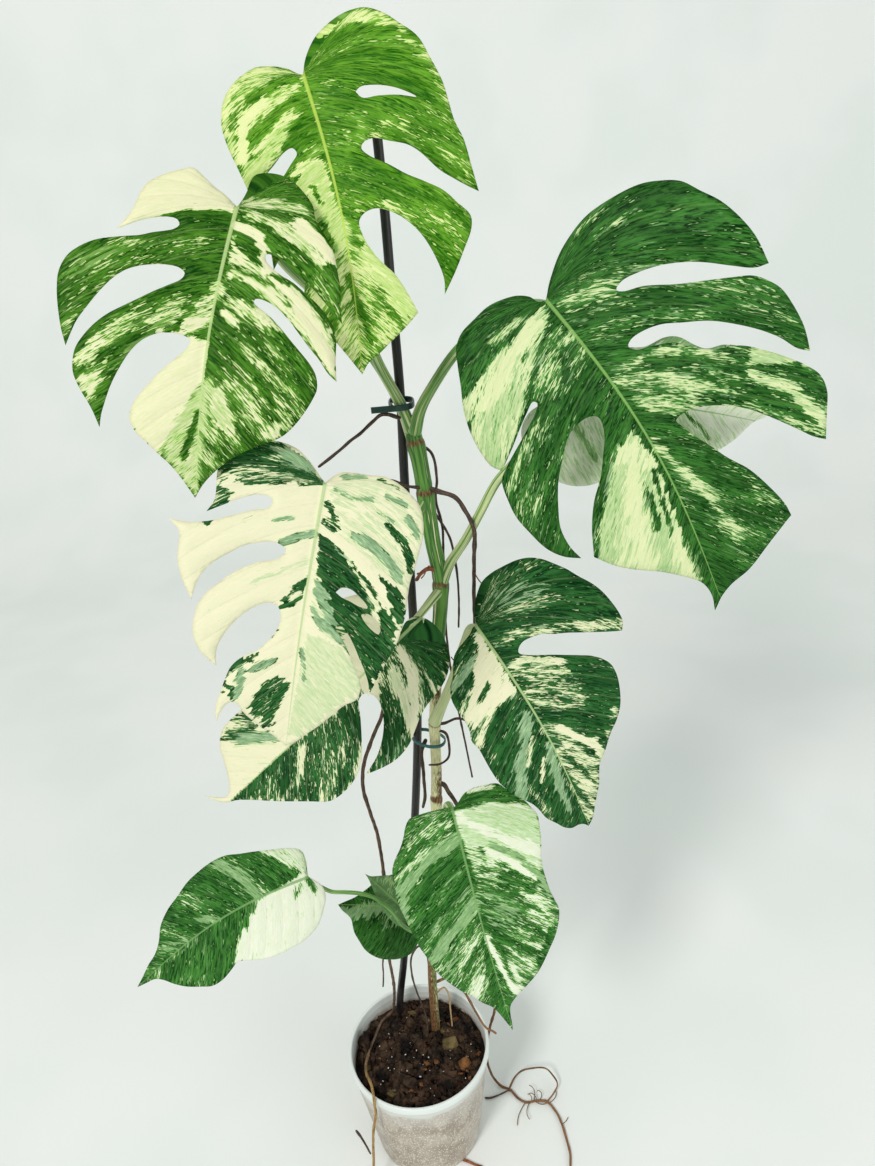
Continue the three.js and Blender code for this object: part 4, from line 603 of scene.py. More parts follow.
MARKS["right_low"] = ["dark", [
    ("streaked", 0, [[0, 4], [-24, 10], [-44, 36], [-46, 80], [-30, 70], [3, 62]]),
    ("dark", 3.4, [[-8, 10], [-24, 16]]),
    ("sage", 2.4, [[-12, 19], [-34, 30]]),
    ("cream", 2.6, [[-2, 8], [-4, 18], [-16, 28]]),
    ("dark", 2.8, [[-22, 32], [-38, 40]]),
    ("cream", 0, [[1, 20], [-12, 26], [-26, 42], [-38, 52], [-36, 62], [-18, 58], [2, 54]]),
    ("dark", 2.2, [[-12, 40], [-24, 47]]),
    ("marbled", 2.2, [[1, 38], [-6, 46]]),
    ("marbled", 4, [[-24, 60], [-40, 76]]),
    ("dark", 0, [[2, 57], [-16, 56], [-34, 74], [-40, 96], [-24, 96], [-4, 84], [3, 70]]),
    ("flecked", 3, [[-32, 80], [-40, 104]]),
    ("sage", 4, [[-1, 72], [-8, 86], [-22, 102], [-34, 128]]),
    ("pale", 1.3, [[-5, 88], [-16, 104]]),
    ("dark", 3, [[2, 84], [-4, 104], [-20, 128]]),
    ("sage", 3.4, [[3, 100], [-2, 122], [-9, 150]]),
    ("cream", 1, [[-4, 106], [-14, 120]]),
    ("streaked", 3, [[-22, 120], [-22, 148]]),
    ("dark", 2.8, [[-10, 136], [-12, 160]]),
    ("flecked", 0, [[2, -10], [30, -26], [60, -24], [76, 0], [60, 14], [16, 14]]),
    ("mottled", 0, [[14, -14], [40, -14], [62, -2], [64, 12], [30, 8]]),
    ("streaked", 1.6, [[16, -21], [34, -23], [54, -17]]),
    ("streaked", 1.8, [[28, 2], [46, 5], [60, 8]]),
    ("dark", 0, [[40, -22], [66, -14], [84, 10], [92, 34], [76, 24], [58, 0]]),
    ("marbled", 4, [[24, 20], [50, 30], [72, 40], [91, 49]]),
    ("streaked", 3, [[6, 18], [30, 20]]),
    ("pale", 2.6, [[8, 36], [20, 38], [40, 50]]),
    ("streaked", 0, [[5, 40], [20, 42], [44, 58], [42, 88], [14, 82], [6, 64]]),
    ("marbled", 2.6, [[8, 60], [22, 66], [38, 80]]),
    ("dark", 2.2, [[12, 76], [30, 88]]),
    ("streaked", 5, [[8, 88], [20, 104]]),
    ("cream", 1.8, [[16, 92], [26, 106], [32, 118]]),
    ("washed", 2.6, [[32, 112], [34, 126]]),
    ("streaked", 3, [[56, 100], [42, 118]]),
    ("marbled", 0, [[5, 104], [20, 102], [30, 128], [18, 152], [1, 170], [2, 134]]),
    ("dark", 1.6, [[10, 112], [20, 142]]),
    ("dark", 1.4, [[4, 126], [8, 156]]),
]]
MARKS["heart"] = ["flecked", [
    ("streaked", 3, [[-6, 8], [-40, 16]]),
    ("marbled", 2.4, [[-6, 20], [-30, 26], [-54, 38]]),
    ("sage", 4, [[-2, 23], [-28, 32], [-50, 46]]),
    ("sage", 3.4, [[-54, 44], [-57, 74]]),
    ("dark", 0, [[-2, 30], [-28, 38], [-46, 54], [-50, 78], [-38, 74], [-16, 68], [-2, 62]]),
    ("mottled", 2.4, [[-8, 48], [-26, 58]]),
    ("mottled", 2.6, [[-4, 64], [-22, 74], [-44, 92]]),
    ("dark", 2.6, [[-20, 82], [-40, 94]]),
    ("sage", 4.5, [[-2, 74], [-24, 90], [-46, 108]]),
    ("streaked", 0, [[-3, 92], [-20, 98], [-48, 116], [-26, 148], [-8, 162]]),
    ("mottled", 4, [[-30, 106], [-36, 126]]),
    ("pale", 2.2, [[-14, 134], [-24, 152]]),
    ("dark", 2.4, [[-2, 104], [-6, 140], [-4, 180]]),
    ("lime", 0, [[1, 4], [30, 4], [62, 16], [63, 42], [58, 62], [20, 40], [3, 32]]),
    ("speckled", 4, [[40, 16], [56, 24], [60, 40]]),
    ("cream", 3, [[4, 10], [20, 22], [34, 34]]),
    ("cream", 4, [[34, 34], [56, 50]]),
    ("dark", 3.6, [[4, -1], [26, -3], [46, 4]]),
    ("cream", 1.6, [[16, -9], [34, -8]]),
    ("marbled", 0, [[2, 34], [18, 34], [26, 52], [18, 66], [3, 60]]),
    ("sage", 2.8, [[22, 34], [38, 48], [50, 66], [55, 84]]),
    ("cream", 2, [[18, 38], [36, 54], [46, 68]]),
    ("marbled", 0, [[20, 52], [44, 66], [57, 90], [55, 100], [34, 84]]),
    ("dark", 3, [[24, 60], [42, 76]]),
    ("mottled", 0, [[3, 66], [20, 70], [36, 92], [30, 112], [4, 96]]),
    ("dark", 3, [[4, 98], [16, 120]]),
    ("streaked", 0, [[34, 88], [58, 100], [50, 124], [30, 146], [10, 150], [12, 110]]),
    ("green", 2.4, [[50, 112], [34, 136]]),
    ("cream", 1.8, [[-1, 104], [3, 122], [6, 144], [12, 156]]),
    ("dark", 1.2, [[2, 134], [6, 156]]),
    ("pale", 1.6, [[12, 128], [16, 154]]),
]]
MARKS["low_left"] = ["flecked", [
    ("pale", 0, [[-3, -3], [-24, -9], [-44, 24], [-34, 22], [-22, 12], [-8, 5]]),
    ("dark", 0, [[-2, 1], [-22, 14], [-34, 30], [-24, 34], [-5, 24]]),
    ("sage", 3.4, [[-6, 40], [-28, 44], [-46, 54]]),
    ("dark", 5, [[-8, 54], [-44, 76]]),
    ("sage", 2, [[-10, 74], [-30, 96]]),
    ("dark", 4, [[-22, 86], [-38, 98]]),
    ("mottled", 3, [[-6, 92], [-14, 120]]),
    ("cream", 0, [[-4, 2], [-5, 42], [0, 47], [4, 55], [9, 64], [15, 70], [24, 77], [44, 60], [46, 20],
        [30, -10], [4, -8]]),
    ("dark", 2.2, [[1, 1], [12, 1]]),
    ("mottled", 2.4, [[3, 8], [6, 14]]),
    ("dark", 0, [[-5, 45], [2, 52], [12, 68], [26, 80], [30, 100], [20, 115], [5, 128], [-2, 120],
        [-3, 80]]),
    ("flecked", 3, [[12, 112], [27, 98]]),
    ("streaked", 2, [[-24, 118], [-13, 128]]),
]]
MARKS["small_curled"] = ["dark", [
    ("flecked", 0, [[-40, -20], [40, -20], [40, 60], [-40, 60]]),
    ("marbled", 2.6, [[14, 16], [10, 38], [2, 54]]),
]]
MARKS["small_dark"] = ["dark", [
    ("sage", 5, [[-2, 44], [7, 86]]),
    ("mottled", 8, [[2, 10], [8, 40]]),
]]

# Curves and flat outlines

# Steps that a smooth curve is worked out in between two given points
CURVE_STEPS = 24
# Points that distance_to takes at a time, and the shortest edge, squared, that it divides by
POINTS_AT_ONCE = 1500
LEAST_SQUARE = 1e-9
# Points of a filled outline that lie nearer than this are one
SAME_POINT = 1e-5


def smooth_curve(path):
    """Close points on a smooth curve through `path`.

    Between two neighbours the curve is a cubic Hermite piece. Its end slopes are those of a
    Catmull-Rom curve whose knots lie the square root of the distance apart.
    """
    given = np.array(path, float)
    ends = np.vstack([2 * given[0] - given[1], given, 2 * given[-1] - given[-2]])
    gaps = np.sqrt(np.linalg.norm(np.diff(ends, axis=0), axis=1))[:, None]
    before, here, after = gaps[:-2], gaps[1:-1], gaps[2:]
    a, b, c, d = ends[:-3], ends[1:-2], ends[2:-1], ends[3:]
    leave = ((b - a) / before - (c - a) / (before + here) + (c - b) / here) * here
    arrive = ((c - b) / here - (d - b) / (here + after) + (d - c) / after) * here
    s = np.linspace(0, 1, CURVE_STEPS, endpoint=False)[None, :, None]
    inner = (
        (2 * s**3 - 3 * s**2 + 1) * b[:, None]
        + (s**3 - 2 * s**2 + s) * leave[:, None]
        + (3 * s**2 - 2 * s**3) * c[:, None]
        + (s**3 - s**2) * arrive[:, None]
    )
    return np.vstack([inner.reshape(-1, given.shape[1]), given[-1:]])


def reaches(curve):
    """Distance along the curve from its first point to each of its points."""
    steps = np.linalg.norm(np.diff(curve, axis=0), axis=1)
    return np.concatenate([[0], np.cumsum(steps)])


def at_distances(curve, distances):
    """Points of the curve at the given distances from its first point."""
    reach = reaches(curve)
    return np.stack([np.interp(distances, reach, values) for values in curve.T], axis=1)


def evenly(path, step):
    """Points about `step` apart on the smooth curve through `path`, both ends included."""
    curve = smooth_curve(path)
    total = reaches(curve)[-1]
    return at_distances(curve, np.linspace(0, total, max(2, round(total / step)) + 1))


def ease(value):
    """Rises from 0 to 1 as value does, with level ends: 3x² - 2x³."""
    x = np.clip(value, 0, 1)
    return x * x * (3 - 2 * x)


def bell(value, width):
    """The bump exp(-(value / width)²)."""
    return np.exp(-((value / width) ** 2))


def pressed(values, power):
    """Each value to a power, keeping its sign. A power under 1 presses a ball towards a box."""
    return np.sign(values) * np.abs(values) ** power


def unit(vectors):
    """One vector, or each of an array of them, divided by its length."""
    return vectors / np.linalg.norm(vectors, axis=-1, keepdims=True)


def spun(first, second, angle):
    """Two coordinates turned by an angle in their plane."""
    cos, sin = np.cos(angle), np.sin(angle)
    return first * cos - second * sin, first * sin + second * cos


def inside(points, loops):
    """True for each point with an odd number of the loops' edges to its right."""
    found = np.zeros(len(points), bool)
    for loop in loops:
        start = loop[:, None]
        end = np.roll(loop, -1, axis=0)[:, None]
        crosses = (start[..., 1] > points[:, 1]) != (end[..., 1] > points[:, 1])
        rise = np.where(crosses, end[..., 1] - start[..., 1], 1)
        share = (points[:, 1] - start[..., 1]) / rise
        at = start[..., 0] + share * (end[..., 0] - start[..., 0])
        found ^= np.sum(crosses & (points[:, 0] < at), axis=0) % 2 == 1
    return found


def distance_to(points, chain, closed):
    """Shortest distance from each point to a chain of straight edges."""
    start = chain if closed else chain[:-1]
    edge = np.roll(chain, -1, axis=0) - chain if closed else np.diff(chain, axis=0)
    square = np.maximum((edge**2).sum(1), LEAST_SQUARE)
    found = []
    for part in np.array_split(points, len(points) // POINTS_AT_ONCE + 1):
        offset = part[:, None] - start
        share = np.clip((offset * edge).sum(2) / square, 0, 1)
        gap = offset - share[..., None] * edge
        found.append(np.sqrt((gap**2).sum(2).min(1)))
    return np.concatenate(found)


def nearest(points, loops):
    """Shortest distance from each point to any of the closed loops."""
    return np.min([distance_to(points, loop, True) for loop in loops], axis=0)


# Triangles


def filled(loops, inner):
    """Points and triangles of the flat area that the loops bound, with the points `inner` in
    it. Each triangle's corners turn to the left, from +X to +Y."""
    edges = []
    first = 0
    for loop in loops:
        ring = np.arange(first, first + len(loop))
        edges.append(np.stack([ring, np.roll(ring, -1)], axis=1))
        first += len(loop)
    points, _, faces, *_ = delaunay_2d_cdt(
        np.vstack([*loops, inner]).tolist(), np.vstack(edges).tolist(), [], 0, SAME_POINT, False
    )
    points = np.array(points, float)
    faces = np.array(faces, int)
    faces = faces[inside(points[faces].mean(1), loops)]
    a, b, c = points[faces].transpose(1, 0, 2)
    one, two = b - a, c - a
    leftward = one[:, 0] * two[:, 1] > one[:, 1] * two[:, 0]
    faces = np.where(leftward[:, None], faces, faces[:, ::-1])
    used, faces = np.unique(faces, return_inverse=True)
    return points[used], faces.reshape(-1, 3)


def free_edges(faces, count):
    """The edges that only one triangle has, out of triangles on `count` points."""
    edges = np.vstack([faces[:, [0, 1]], faces[:, [1, 2]], faces[:, [2, 0]]])
    forward = edges[:, 0] * count + edges[:, 1]
    backward = edges[:, 1] * count + edges[:, 0]
    return edges[~np.isin(forward, backward)]


def closed_sheet(faces, count, edges):
    """Triangles of a sheet with two sides, each on `count` points: the first side's turned
    over, the second side's as given, and a wall of two triangles on each edge."""
    start, end = edges.T
    return np.vstack([
        faces[:, ::-1],
        faces + count,
        np.stack([start, end, end + count], 1),
        np.stack([start, end + count, start + count], 1),
    ])


def wall_corners(rings, sides):
    """Two triangles between each two neighbouring rings at each side, each corner as its ring
    and its place round the ring, counted on past the seam. Seen from outside, the places run
    to the right and the rings upwards."""
    ring, side = np.meshgrid(np.arange(rings - 1), np.arange(sides), indexing="ij")
    here = np.stack([ring.ravel(), side.ravel()], 1)
    across = here + [1, 1]
    return np.vstack([
        np.stack([here, here + [0, 1], across], 1),
        np.stack([here, across, here + [1, 0]], 1),
    ])


def as_index(corners, sides):
    """The number of each corner's point, when rings of `sides` points follow one another."""
    return corners[..., 0] * sides + corners[..., 1] % sides


def closed_grid(rings, sides):
    """Triangles of a tube of rings with a point at each end, facing outwards, and their
    corners as wall_corners gives them. The end points follow the rings' own points."""
    start = np.stack([np.zeros(sides, int), np.arange(sides)], 1)
    end = start + [rings - 1, 0]
    corners = np.vstack([
        wall_corners(rings, sides),
        np.stack([start, start + [0, 1], start], 1),
        np.stack([end, end, end + [0, 1]], 1),
    ])
    faces = as_index(corners, sides)
    faces[-2 * sides :, 0] = np.repeat([rings * sides, rings * sides + 1], sides)
    return faces, corners


def new_piece(name, points, faces, node, finish, attributes=None, uv=None):
    """A mesh from points in millimetres and faces of equal size. `attributes` holds one value
    for each point, and `uv` one pair for each corner of each face."""
    mesh = bpy.data.meshes.new(name)
    mesh.vertices.add(len(points))
    mesh.vertices.foreach_set("co", (np.asarray(points) * MM).astype(np.float32).ravel())
    mesh.loops.add(faces.size)
    mesh.loops.foreach_set("vertex_index", faces.astype(np.int32).ravel())
    mesh.polygons.add(len(faces))
    starts = np.arange(0, faces.size, faces.shape[1], dtype=np.int32)
    mesh.polygons.foreach_set("loop_start", starts)
    mesh.update(calc_edges=True)
    for key, values in (attributes or {}).items():
        layer = mesh.attributes.new(key, "FLOAT", "POINT")
        layer.data.foreach_set("value", np.asarray(values, np.float32))
    if uv is not None:
        layer = mesh.uv_layers.new(name="Grain")
        layer.data.foreach_set("uv", uv.astype(np.float32).ravel())
    mesh.shade_smooth()
    mesh.materials.append(finish)
    piece = bpy.data.objects.new(name, mesh)
    bpy.context.scene.collection.objects.link(piece)
    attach(piece, "root")
    if node:
        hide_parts(node)
    return piece


# Colours and finishes


def shade(red, green, blue):
    """A colour in 0 to 255 as the linear colour that a socket takes."""
    part = np.array([red, green, blue]) / 255
    linear = np.where(part > 0.04045, ((part + 0.055) / 1.055) ** 2.4, part / 12.92)
    return (*linear.tolist(), 1.0)


class Finish:
    """A material under construction. Its methods add nodes and give back their outputs."""

    def __init__(self, name, roughness, gloss=0.5):
        self.material = bpy.data.materials.new(name)
        self.material.use_nodes = True
        self.nodes = self.material.node_tree.nodes
        self.links = self.material.node_tree.links
        self.shader = self.nodes["Principled BSDF"]
        self.roughness(roughness)
        self.shader.inputs["Specular IOR Level"].default_value = gloss

    def put(self, socket, value):
        """Links an output to a socket, or sets the socket to a plain value."""
        if isinstance(value, bpy.types.NodeSocket):
            self.links.new(value, socket)
        else:
            socket.default_value = value

    def add(self, kind, inputs, **settings):
        node = self.nodes.new(kind)
        for key, value in settings.items():
            setattr(node, key, value)
        for key, value in inputs.items():
            self.put(node.inputs[key], value)
        return node

    def attribute(self, name):
        """A value that the piece itself holds at each of its points."""
        return self.add("ShaderNodeAttribute", {}, attribute_name=name).outputs["Fac"]

    def grain(self):
        """The piece's own map, in millimetres across its grain and along it."""
        return self.add("ShaderNodeUVMap", {}, uv_map="Grain").outputs["UV"]

    def place(self):
        return self.add("ShaderNodeTexCoord", {}).outputs["Object"]

    def scaled(self, vector, scale, location=(0, 0, 0)):
        inputs = {"Vector": vector, "Scale": scale, "Location": location}
        return self.add("ShaderNodeMapping", inputs).outputs["Vector"]

    def noise(self, vector, scale, detail=2.0, rough=0.5, twist=0.0):
        inputs = {"Vector": vector, "Scale": scale, "Detail": detail, "Roughness": rough,
            "Distortion": twist}
        return self.add("ShaderNodeTexNoise", inputs).outputs["Fac"]

    def streaks(self, across, along, start=(0, 0), detail=2.0, rough=0.5, twist=0.0):
        """Noise with so many lumps to the millimetre across the grain and along it."""
        stretched = self.scaled(self.grain(), (across, along, 1), (*start, 0))
        return self.noise(stretched, 1, detail, rough, twist)

    def cells(self, vector, scale):
        inputs = {"Vector": vector, "Scale": scale}
        return self.add("ShaderNodeTexVoronoi", inputs).outputs["Distance"]

    def math(self, operation, first, second=0.0, third=0.0):
        inputs = {0: first, 1: second, 2: third}
        return self.add("ShaderNodeMath", inputs, operation=operation).outputs["Value"]

    def less(self, first, second):
        return self.math("SUBTRACT", first, second)

    def ramp(self, value, low, high, start=0.0, end=1.0, level=True):
        """Runs from `start` at `low` to `end` at `high`, with level ends or straight."""
        inputs = {"Value": value, "From Min": low, "From Max": high, "To Min": start,
            "To Max": end}
        kind = "SMOOTHSTEP" if level else "LINEAR"
        node = self.add("ShaderNodeMapRange", inputs, interpolation_type=kind)
        return node.outputs["Result"]

    def blend(self, share, first, second):
        """The first colour, with the second mixed in by the share."""
        node = self.add("ShaderNodeMix", {}, data_type="RGBA")
        self.put(node.inputs["Factor"], share)
        self.put(node.inputs["A"], first)
        self.put(node.inputs["B"], second)
        return node.outputs["Result"]

    def height(self, parts):
        """Adds heights in millimetres and sets them as the surface's bump."""
        total = 0.0
        for value, depth in parts:
            total = self.math("MULTIPLY_ADD", value, depth, total)
        node = self.add("ShaderNodeBump", {"Height": total, "Distance": MM, "Strength": 1.0})
        self.links.new(node.outputs["Normal"], self.shader.inputs["Normal"])

    def colour(self, value):
        self.put(self.shader.inputs["Base Color"], value)

    def roughness(self, value):
        self.put(self.shader.inputs["Roughness"], value)


def leaf_finish(name, deep, fresh, sage, light, cream, rib, underside):
    """Variegated blade: its grain is (vein start, distance out along the vein).

    Three sizes of streak, stretched along the veins, add up to one field from 0 to 1. Where
    the cream share reaches the field the blade is light green, and well above it cream. A
    larger clump gathers the streaks of middling shares.
    """
    finish = Finish(name, roughness=0.45, gloss=0.06)
    clump = finish.streaks(1 / 11, 1 / 42, (2, 5), detail=1.0, twist=0.5)
    broad = finish.streaks(1 / 2.6, 1 / 15, detail=3.0, rough=0.65, twist=0.6)
    streak = finish.streaks(1 / 1.1, 1 / 9, (9, 4), rough=0.65, twist=0.6)
    speck = finish.streaks(1 / 0.6, 1 / 4.5, (3, 7), detail=1.0)
    mixed = finish.math("MULTIPLY", broad, 0.28)
    mixed = finish.math("MULTIPLY_ADD", streak, 0.44, mixed)
    mixed = finish.math("MULTIPLY_ADD", speck, 0.28, mixed)
    field = finish.ramp(mixed, 0.36, 0.64, level=False)
    second = finish.streaks(1 / 2.2, 1 / 16, (30, 11), detail=3.0, rough=0.7, twist=0.5)
    second_field = finish.ramp(second, 0.33, 0.67, level=False)

    share = finish.attribute("cream")
    middling = finish.math("MULTIPLY", share, finish.less(1.0, share))
    gathered = finish.ramp(clump, 0.3, 0.7, -1.0, 1.0, level=False)
    share = finish.math("MULTIPLY_ADD", middling, gathered, share)
    depth = finish.less(share, field)
    is_light = finish.ramp(depth, -0.07, -0.01)
    is_cream = finish.ramp(depth, 0.04, 0.14)
    is_sage = finish.ramp(finish.less(finish.attribute("sage"), second_field), -0.1, 0.14)

    green = finish.blend(finish.ramp(streak, 0.4, 0.66), deep, fresh)
    green = finish.blend(finish.ramp(broad, 0.44, 0.64, 0.0, 0.7), green, fresh)
    green = finish.blend(finish.ramp(clump, 0.35, 0.62, 0.45, 0.0), green, deep)
    vein = finish.math("PINGPONG", finish.attribute("vein"), 0.5)
    vein_line = finish.ramp(vein, 0.05, 0.01)
    green = finish.blend(finish.math("MULTIPLY", vein_line, 0.12), green, rib)
    tinted = finish.blend(finish.ramp(mixed, 0.4, 0.6, 0.0, 0.55), sage, green)
    green = finish.blend(is_sage, green, tinted)
    veil = finish.blend(0.45, light, sage)
    veiled = finish.blend(finish.ramp(mixed, 0.38, 0.62, 0.25, 1.0), cream, veil)
    whole = finish.blend(is_sage, cream, veiled)
    yellow = finish.ramp(mixed, 0.62, 0.4, 0.0, 0.22)
    whole = finish.blend(yellow, whole, light)
    colour = finish.blend(is_light, green, light)
    colour = finish.blend(is_cream, colour, whole)

    across = finish.math("ABSOLUTE", finish.attribute("across"))
    width = finish.ramp(finish.attribute("along"), 0.0, 1.0, 1.15, 0.12, level=False)
    on_rib = finish.ramp(finish.less(across, width), 0.35, -0.3)
    colour = finish.blend(finish.math("MULTIPLY", on_rib, 0.8), colour, rib)
    below = finish.attribute("under")
    colour = finish.blend(finish.math("MULTIPLY", below, 0.55), colour, underside)
    finish.colour(colour)

    fine = finish.math("PINGPONG", finish.math("MULTIPLY", finish.attribute("vein"), 5.0), 0.5)
    skin = finish.noise(finish.grain(), 1.1, 3.0, 0.6)
    finish.height([(vein_line, -0.12), (fine, 0.06), (skin, 0.2), (streak, 0.12)])
    finish.roughness(finish.ramp(skin, 0.3, 0.7, 0.36, 0.55))
    return finish.material


# Leaf blades

# Steps along a blade's margins and in the net of points between them
MARGIN_STEP = 1.6
BLADE_STEP = 1.6
# Rows of points beside the midrib, and how near to it and to the margin the net may come
MIDRIB_ROWS = (0.0, 0.9, -0.9, 1.8, -1.8, 3.0, -3.0)
MIDRIB_BELT = 4.2
EDGE_GAP = 1.1
# The lowest vein start, for the veins of the lobes over the joint
VEIN_START = -60.0
VEIN_HALVINGS = 26
VEIN_SPACING = 13.0
# Half the blade's thickness, and the same at its margin
HALF_THICKNESS = 0.3
EDGE_THICKNESS = 0.12
# Midrib of a blade of middle size. Other blades' pillows, waves and ribs scale with theirs.
MIDDLE_LENGTH = 160
# Distance between the grains of two blades, so that no two have the same streaks
GRAIN_APART = 260
# Width of a mark's soft edge, that of the softer tones, and the share of it on crisper blades
MARK_EDGE = 3.5
MARK_EDGES = {"sage": 5.0, "mottled": 8.0, "lime": 5.0, "speckled": 6.0}
CRISPNESS = {"middle": 0.5, "left": 0.7, "top": 0.8, "right": 0.8}
# Half width from which a line frays as fully as an outline
FULL_FRAY = 6.0


def blade_length(leaf):
    """Length of the midrib: an arc that turns by the droop over its chord."""
    chord = np.subtract(leaf["tip"], leaf["joint"])
    half = math.radians(leaf["droop"]) / 2
    return float(np.linalg.norm(chord)) * half / math.sin(half)


def midrib_offset(leaf, down):
    """Sideways sweep of the midrib at a depth: bow times sin(pi depth / length)."""
    length = blade_length(leaf)
    return leaf["bow"] * np.sin(np.pi * np.clip(down, 0, length) / length)


def blade_points(leaf, across, down):
    """The bent blade's middle surface.

    The midrib is a circular arc in the plane of its chord and the direction to the eye.
    On each side the blade leaves it at the fold angle and falls back with an even curl.
    """
    joint = np.array(leaf["joint"], float)
    chord = np.array(leaf["tip"], float) - joint
    along = unit(chord)
    facing = EYE - joint - chord / 2
    facing = unit(facing - facing.dot(along) * along)
    roll = math.radians(leaf["roll"])
    up = math.cos(roll) * facing + math.sin(roll) * np.cross(facing, along)
    side = np.cross(up, along)
    half = math.radians(leaf["droop"]) / 2
    length = blade_length(leaf)
    bend = 2 * half / length

    arc = np.clip(down, 0, length)
    angle = half - bend * arc
    past = down - arc
    run = (math.sin(half) - np.sin(angle)) / bend + past * np.cos(angle)
    rise = (np.cos(angle) - math.cos(half)) / bend + past * np.sin(angle)
    up_here = np.cos(angle)[:, None] * up - np.sin(angle)[:, None] * along
    sweep = midrib_offset(leaf, down)
    out = across - sweep
    fold = np.where(out < 0, *np.radians(leaf["fold"]))
    curl = np.where(out < 0, *np.radians(leaf["curl"])) / 100
    turned = fold - curl * np.abs(out)
    sideways = sweep + np.sign(out) * (np.sin(fold) - np.sin(turned)) / curl
    lift = (np.cos(turned) - np.cos(fold)) / curl
    return (
        joint
        + run[:, None] * along
        + rise[:, None] * up
        + sideways[:, None] * side
        + lift[:, None] * up_here
    )


def blade_normals(leaf, across, down):
    """Unit normals of the bent blade, from points a millimetre to each side."""
    downwards = blade_points(leaf, across, down + 1) - blade_points(leaf, across, down - 1)
    sideways = blade_points(leaf, across + 1, down) - blade_points(leaf, across - 1, down)
    return unit(np.cross(downwards, sideways))


def margin_points(runs):
    """Even points along one margin's runs, up to the drip tip but without it."""
    starts = [[], *(run[-1:] for run in runs)]
    return np.vstack([evenly([*start, *run], MARGIN_STEP)[:-1] for start, run in zip(starts, runs)])


def blade_loops(leaf):
    """The smooth outline and holes of a flat blade, each as a closed loop of points."""
    drip_tip = leaf["right"][-1][-1]
    outline = np.vstack([margin_points(leaf["right"]), drip_tip, margin_points(leaf["left"])[:0:-1]])
    holes = [evenly([*hole, hole[0]], MARGIN_STEP)[:-1] for hole in leaf["holes"]]
    return [outline, *holes]


def blade_net(leaf, loops):
    """Points and triangles of a flat blade: its loops, rows along the midrib, and an even
    triangular net between them."""
    lowest = loops[0].min(0)
    highest = loops[0].max(0)
    columns = np.arange(lowest[0], highest[0], BLADE_STEP)
    rows = np.arange(lowest[1], highest[1], BLADE_STEP * math.sqrt(0.75))
    shift = np.tile([0.0, BLADE_STEP / 2], len(rows) // 2 + 1)[: len(rows)]
    net = np.stack(
        [columns[None, :] + shift[:, None], np.repeat(rows[:, None], len(columns), 1)], axis=2
    ).reshape(-1, 2)
    net = net[np.abs(net[:, 0] - midrib_offset(leaf, net[:, 1])) > MIDRIB_BELT]
    down = np.arange(0, highest[1], BLADE_STEP)
    ribs = [np.stack([midrib_offset(leaf, down) + row, down], axis=1) for row in MIDRIB_ROWS]
    inner = np.vstack([net, *ribs])
    inner = inner[inside(inner, loops)]
    return filled(loops, inner[nearest(inner, loops) > EDGE_GAP])


def vein_grain(across, down):
    """Where the side vein through each point leaves the midrib, how far out it has run, and
    how steeply it runs down there.

    The vein that leaves at q passes the points w beside the midrib at the depth
    max(q, 0) + s |w| + k w², where s grows with q and k shrinks with it. q is found by halving.
    """
    reach = np.abs(across)
    low = np.full(len(across), VEIN_START)
    high = np.maximum(down, 0)
    for _ in range(VEIN_HALVINGS):
        q = (low + high) / 2
        slope = np.where(q < 0, 0.15 + 0.02 * q, 0.15 + 0.006 * q)
        bend = 0.006 - 0.003 * np.clip(q / 60, 0, 1)
        deep = np.maximum(q, 0) + slope * reach + bend * reach**2 > down
        high = np.where(deep, q, high)
        low = np.where(deep, low, q)
    q = (low + high) / 2
    return q, np.hypot(reach, down - np.maximum(q, 0)), slope + 2 * bend * reach


def fraying(beside, q, out, steep, order):
    """How far to move flat points along their side veins, up to 5 mm, by two sines of the
    vein's start, so that the marks run out in fingers along the veins."""
    shift = 2.8 * np.sin(1.25 * q + 2.3 * order) + 2.2 * np.sin(0.67 * q + 0.06 * out + order)
    shift *= ease(out / 14)
    direction = np.stack([np.sign(beside), steep], 1) / np.hypot(1, steep)[:, None]
    return shift[:, None] * direction


def laid_marks(key, points, fray):
    """The cream share and the muted share at each flat point: the marks laid over the ground
    one after another, each with a soft edge. Outlines fray fully, and lines as they are wide."""
    ground, marks = MARKS[key]
    shares = np.tile(TONES[ground], (len(points), 1)).astype(float)
    for tone, half_width, path in marks:
        outline = np.array(path, float)
        if half_width:
            moved = points + min(half_width / FULL_FRAY, 1) * fray
            gap = distance_to(moved, outline, False) - half_width
        else:
            moved = points + fray
            gap = distance_to(moved, outline, True)
            gap = np.where(inside(moved, [outline]), -gap, gap)
        edge = CRISPNESS.get(key, 1) * MARK_EDGES.get(tone, MARK_EDGE)
        weight = np.clip(0.5 - gap / edge, 0, 1)[:, None]
        shares = shares * (1 - weight) + np.array(TONES[tone]) * weight
    return shares


def blade_relief(beside, q, out, margin, size, order):
    """How far a blade of a given size stands off its bent surface: pillows |sin|^0.8 between
    the side veins, a slow sine wave towards the margin, and the margin rolled down a little."""
    pillow = np.abs(np.sin(np.pi * q / (VEIN_SPACING * size))) ** 0.8 - 0.5
    pillow *= 0.9 * size * ease(out / 12) * ease(margin / 6)
    wave = np.sin(q / (8.5 * size) + 2.1 * order + np.sign(beside)) * ease(out / (70 * size))
    wave *= 1.6 * size * ease(1 - margin / (30 * size))
    rolled = -1.1 * size * (1 - ease(margin / 5)) * ease(out / 20)
    return pillow + wave + rolled


